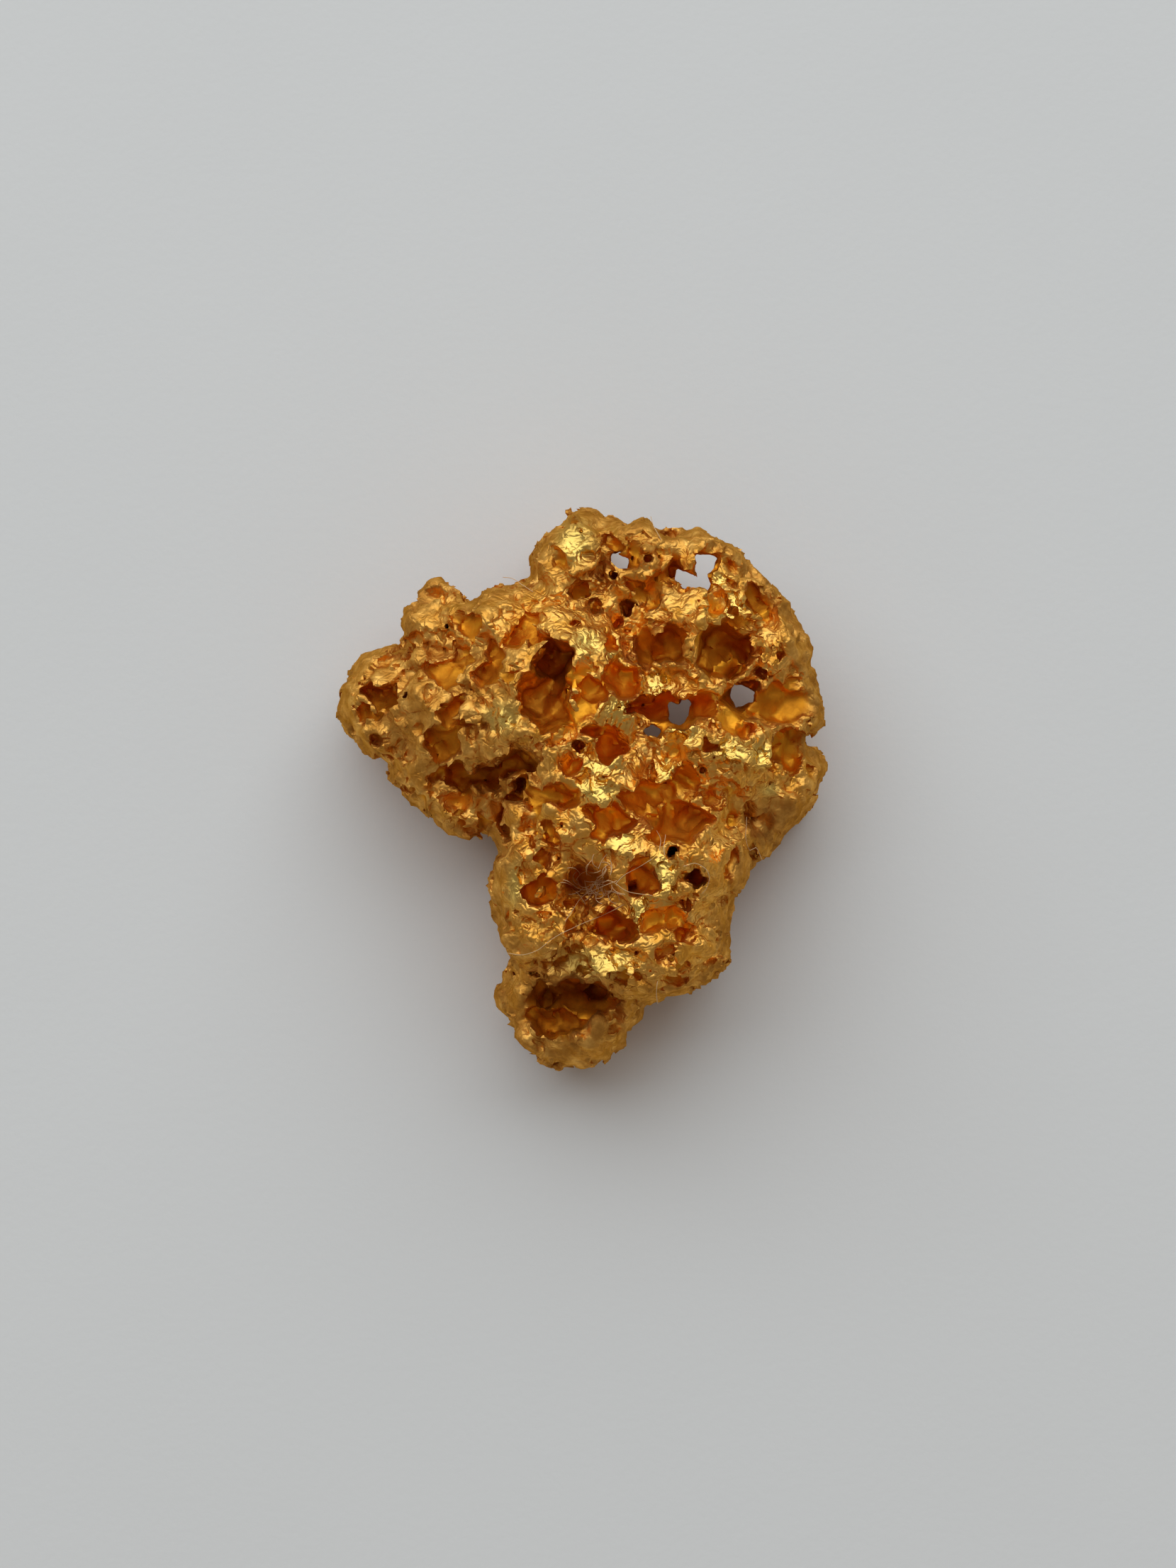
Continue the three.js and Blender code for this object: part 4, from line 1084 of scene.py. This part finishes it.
def fibreTree(material):
    tree = bpy.data.node_groups.new("fibresAlongPaths", "GeometryNodeTree")
    tree.interface.new_socket(name="Paths", in_out="INPUT", socket_type="NodeSocketGeometry")
    inputs = {}
    for name, kind in (("Thickness", "Float"), ("Sides", "Int"), ("Waviness", "Float"), ("Seed", "Int")):
        socket = tree.interface.new_socket(name=name, in_out="INPUT", socket_type="NodeSocket" + kind)
        inputs[name] = socket.identifier
    tree.interface.new_socket(name="Fibres", in_out="OUTPUT", socket_type="NodeSocketGeometry")

    def node(kind, **settings):
        made = tree.nodes.new(kind)
        for name, setting in settings.items():
            setattr(made, name, setting)
        return made

    given, result = node("NodeGroupInput"), node("NodeGroupOutput")
    curve, bend = node("GeometryNodeMeshToCurve"), node("GeometryNodeSetPosition")
    wave = node("ShaderNodeTexNoise", noise_dimensions="4D")
    centred, scaled = (node("ShaderNodeVectorMath", operation=kind) for kind in ("SUBTRACT", "SCALE"))
    profile, skin = node("GeometryNodeCurvePrimitiveCircle"), node("GeometryNodeCurveToMesh")
    whole, painted = node("GeometryNodeRealizeInstances"), node("GeometryNodeSetMaterial")
    wave.inputs["Scale"].default_value = lint["waveScale"]
    centred.inputs[1].default_value = (0.5, 0.5, 0.5)
    skin.inputs["Fill Caps"].default_value = True
    painted.inputs["Material"].default_value = material
    links = (
        (given, "Paths", curve, "Mesh"), (curve, "Curve", bend, "Geometry"),
        (given, "Seed", wave, "W"), (wave, "Color", centred, 0), (centred, 0, scaled, 0),
        (given, "Waviness", scaled, "Scale"), (scaled, 0, bend, "Offset"),
        (given, "Thickness", profile, "Radius"), (given, "Sides", profile, "Resolution"),
        (bend, "Geometry", skin, "Curve"), (profile, "Curve", skin, "Profile Curve"),
        (skin, "Mesh", whole, "Geometry"), (whole, "Geometry", painted, "Geometry"),
        (painted, "Geometry", result, "Fibres"))
    for start, leaving, end, entering in links:
        tree.links.new(start.outputs[leaving], end.inputs[entering])
    return tree, inputs


def buildLint():
    corners = [corner.co.copy() for corner in nugget.data.vertices]
    surface = BVHTree.FromPolygons(corners, [tuple(face.vertices) for face in nugget.data.polygons])
    points, edges = [], []
    for path in lint["paths"] + tuftPaths(np.random.default_rng(lint["seed"])):
        laid = layOver(smoothPath(path, lint["step"]), surface)
        edges += [(n, n + 1) for n in range(len(points), len(points) + len(laid) - 1)]
        points += [Vector(place) * mm for place in laid]
    mesh = bpy.data.meshes.new("lintPaths")
    mesh.from_pydata(points, edges, [])
    fibres = bpy.data.objects.new("lint", mesh)
    scene.collection.objects.link(fibres)
    graph = Graph("lintFibre")
    tree, inputs = fibreTree(graph.finish(Base_Color=lint["colour"], Roughness=0.6))
    along = fibres.modifiers.new("fibres", "NODES")
    along.node_group = tree
    settings = {
        "Thickness": lint["thickness"] * mm,
        "Sides": lint["sides"],
        "Waviness": lint["waviness"],
        "Seed": lint["waveSeed"],
    }
    for name, value in settings.items():
        along[inputs[name]] = value
    return plainMesh(fibres)


lintPiece = buildLint()
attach(lintPiece, "root")
print("lint laid:", len(lintPiece.data.polygons), "faces")


# Studio: pale floor, a soft window on the +Y side, warm light all round, camera above

studio = {
    "viewWidth": 0.05807,
    "distance": 0.150,
    "elevation": 85.0,
    "targetHeight": 0.0045,
    "frameWidth": 1659,
    "frameHeight": 2212,
    "floorShade": 238,         # 0 to 255 as seen on a screen
    "floorClouds": 0.97,
    "floorSize": 1.2,
    "windowPlace": (-0.08, 0.5, 0.55),
    "windowTarget": (0, 0, 0.005),
    "windowSize": (1.5, 0.9),
    "windowPower": 6.4,
    "windowColour": (0.87, 0.95, 1),
    "worldColour": (1, 0.9, 0.79, 1),
    "worldLight": 0.225,
}


def floorMaterial():
    graph = Graph("paleFloor")
    where = graph.node("TexCoord", output="Object")
    pale = ((studio["floorShade"] / 255 + 0.055) / 1.055) ** 2.4  # from screen values to light
    # paper and slightly darker paper in soft clouds, the paper's own tone
    paper, darkerPaper = (pale,) * 3 + (1,), (pale * studio["floorClouds"],) * 3 + (1,)
    colour = graph.mix(graph.noise(where, 60, 3), paper, darkerPaper)
    fine = graph.noise(where, 2500, 4)
    bump = graph.node("Bump", {}, {"Strength": 0.1, "Distance": 0.0001, "Height": fine})
    return graph.finish(Base_Color=colour, Roughness=0.8, Normal=bump)


def buildFloor():
    half = studio["floorSize"] / 2
    corners = np.array([(-half, -half, 0), (half, -half, 0), (half, half, 0), (-half, half, 0)])
    floor = meshObject("floor", corners, np.array([[0, 1, 2, 3]]))
    floor.data.materials.append(floorMaterial())
    return floor


buildFloor()


def buildLight():
    lamp = bpy.data.lights.new("windowLight", "AREA")
    lamp.shape = "RECTANGLE"
    lamp.size, lamp.size_y = studio["windowSize"]
    lamp.energy = studio["windowPower"]
    lamp.color = studio["windowColour"]
    light = bpy.data.objects.new("windowLight", lamp)
    scene.collection.objects.link(light)
    light.location = studio["windowPlace"]
    towards = Vector(studio["windowTarget"]) - light.location
    light.rotation_euler = towards.to_track_quat("-Z", "Y").to_euler()
    scene.world = bpy.data.worlds.new("softRoom")
    scene.world.use_nodes = True
    background = scene.world.node_tree.nodes["Background"]
    background.inputs["Color"].default_value = studio["worldColour"]
    background.inputs["Strength"].default_value = studio["worldLight"]


buildLight()


def buildCamera():
    lens = bpy.data.cameras.new("camera")
    camera = bpy.data.objects.new("camera", lens)
    scene.collection.objects.link(camera)
    middleX, middleY = nuggetForm["planMiddle"]
    target = Vector((middleX * mm, middleY * mm, studio["targetHeight"]))
    tilt = math.radians(studio["elevation"])
    camera.location = target + studio["distance"] * Vector((0, -math.cos(tilt), math.sin(tilt)))
    camera.rotation_euler = (target - camera.location).to_track_quat("-Z", "Y").to_euler()
    viewHeight = studio["viewWidth"] * studio["frameHeight"] / studio["frameWidth"]
    lens.lens = lens.sensor_width * studio["distance"] / viewHeight
    lens.clip_start = 0.01
    scene.camera = camera


buildCamera()
scene.view_settings.view_transform = "Standard"
print("studio ready")
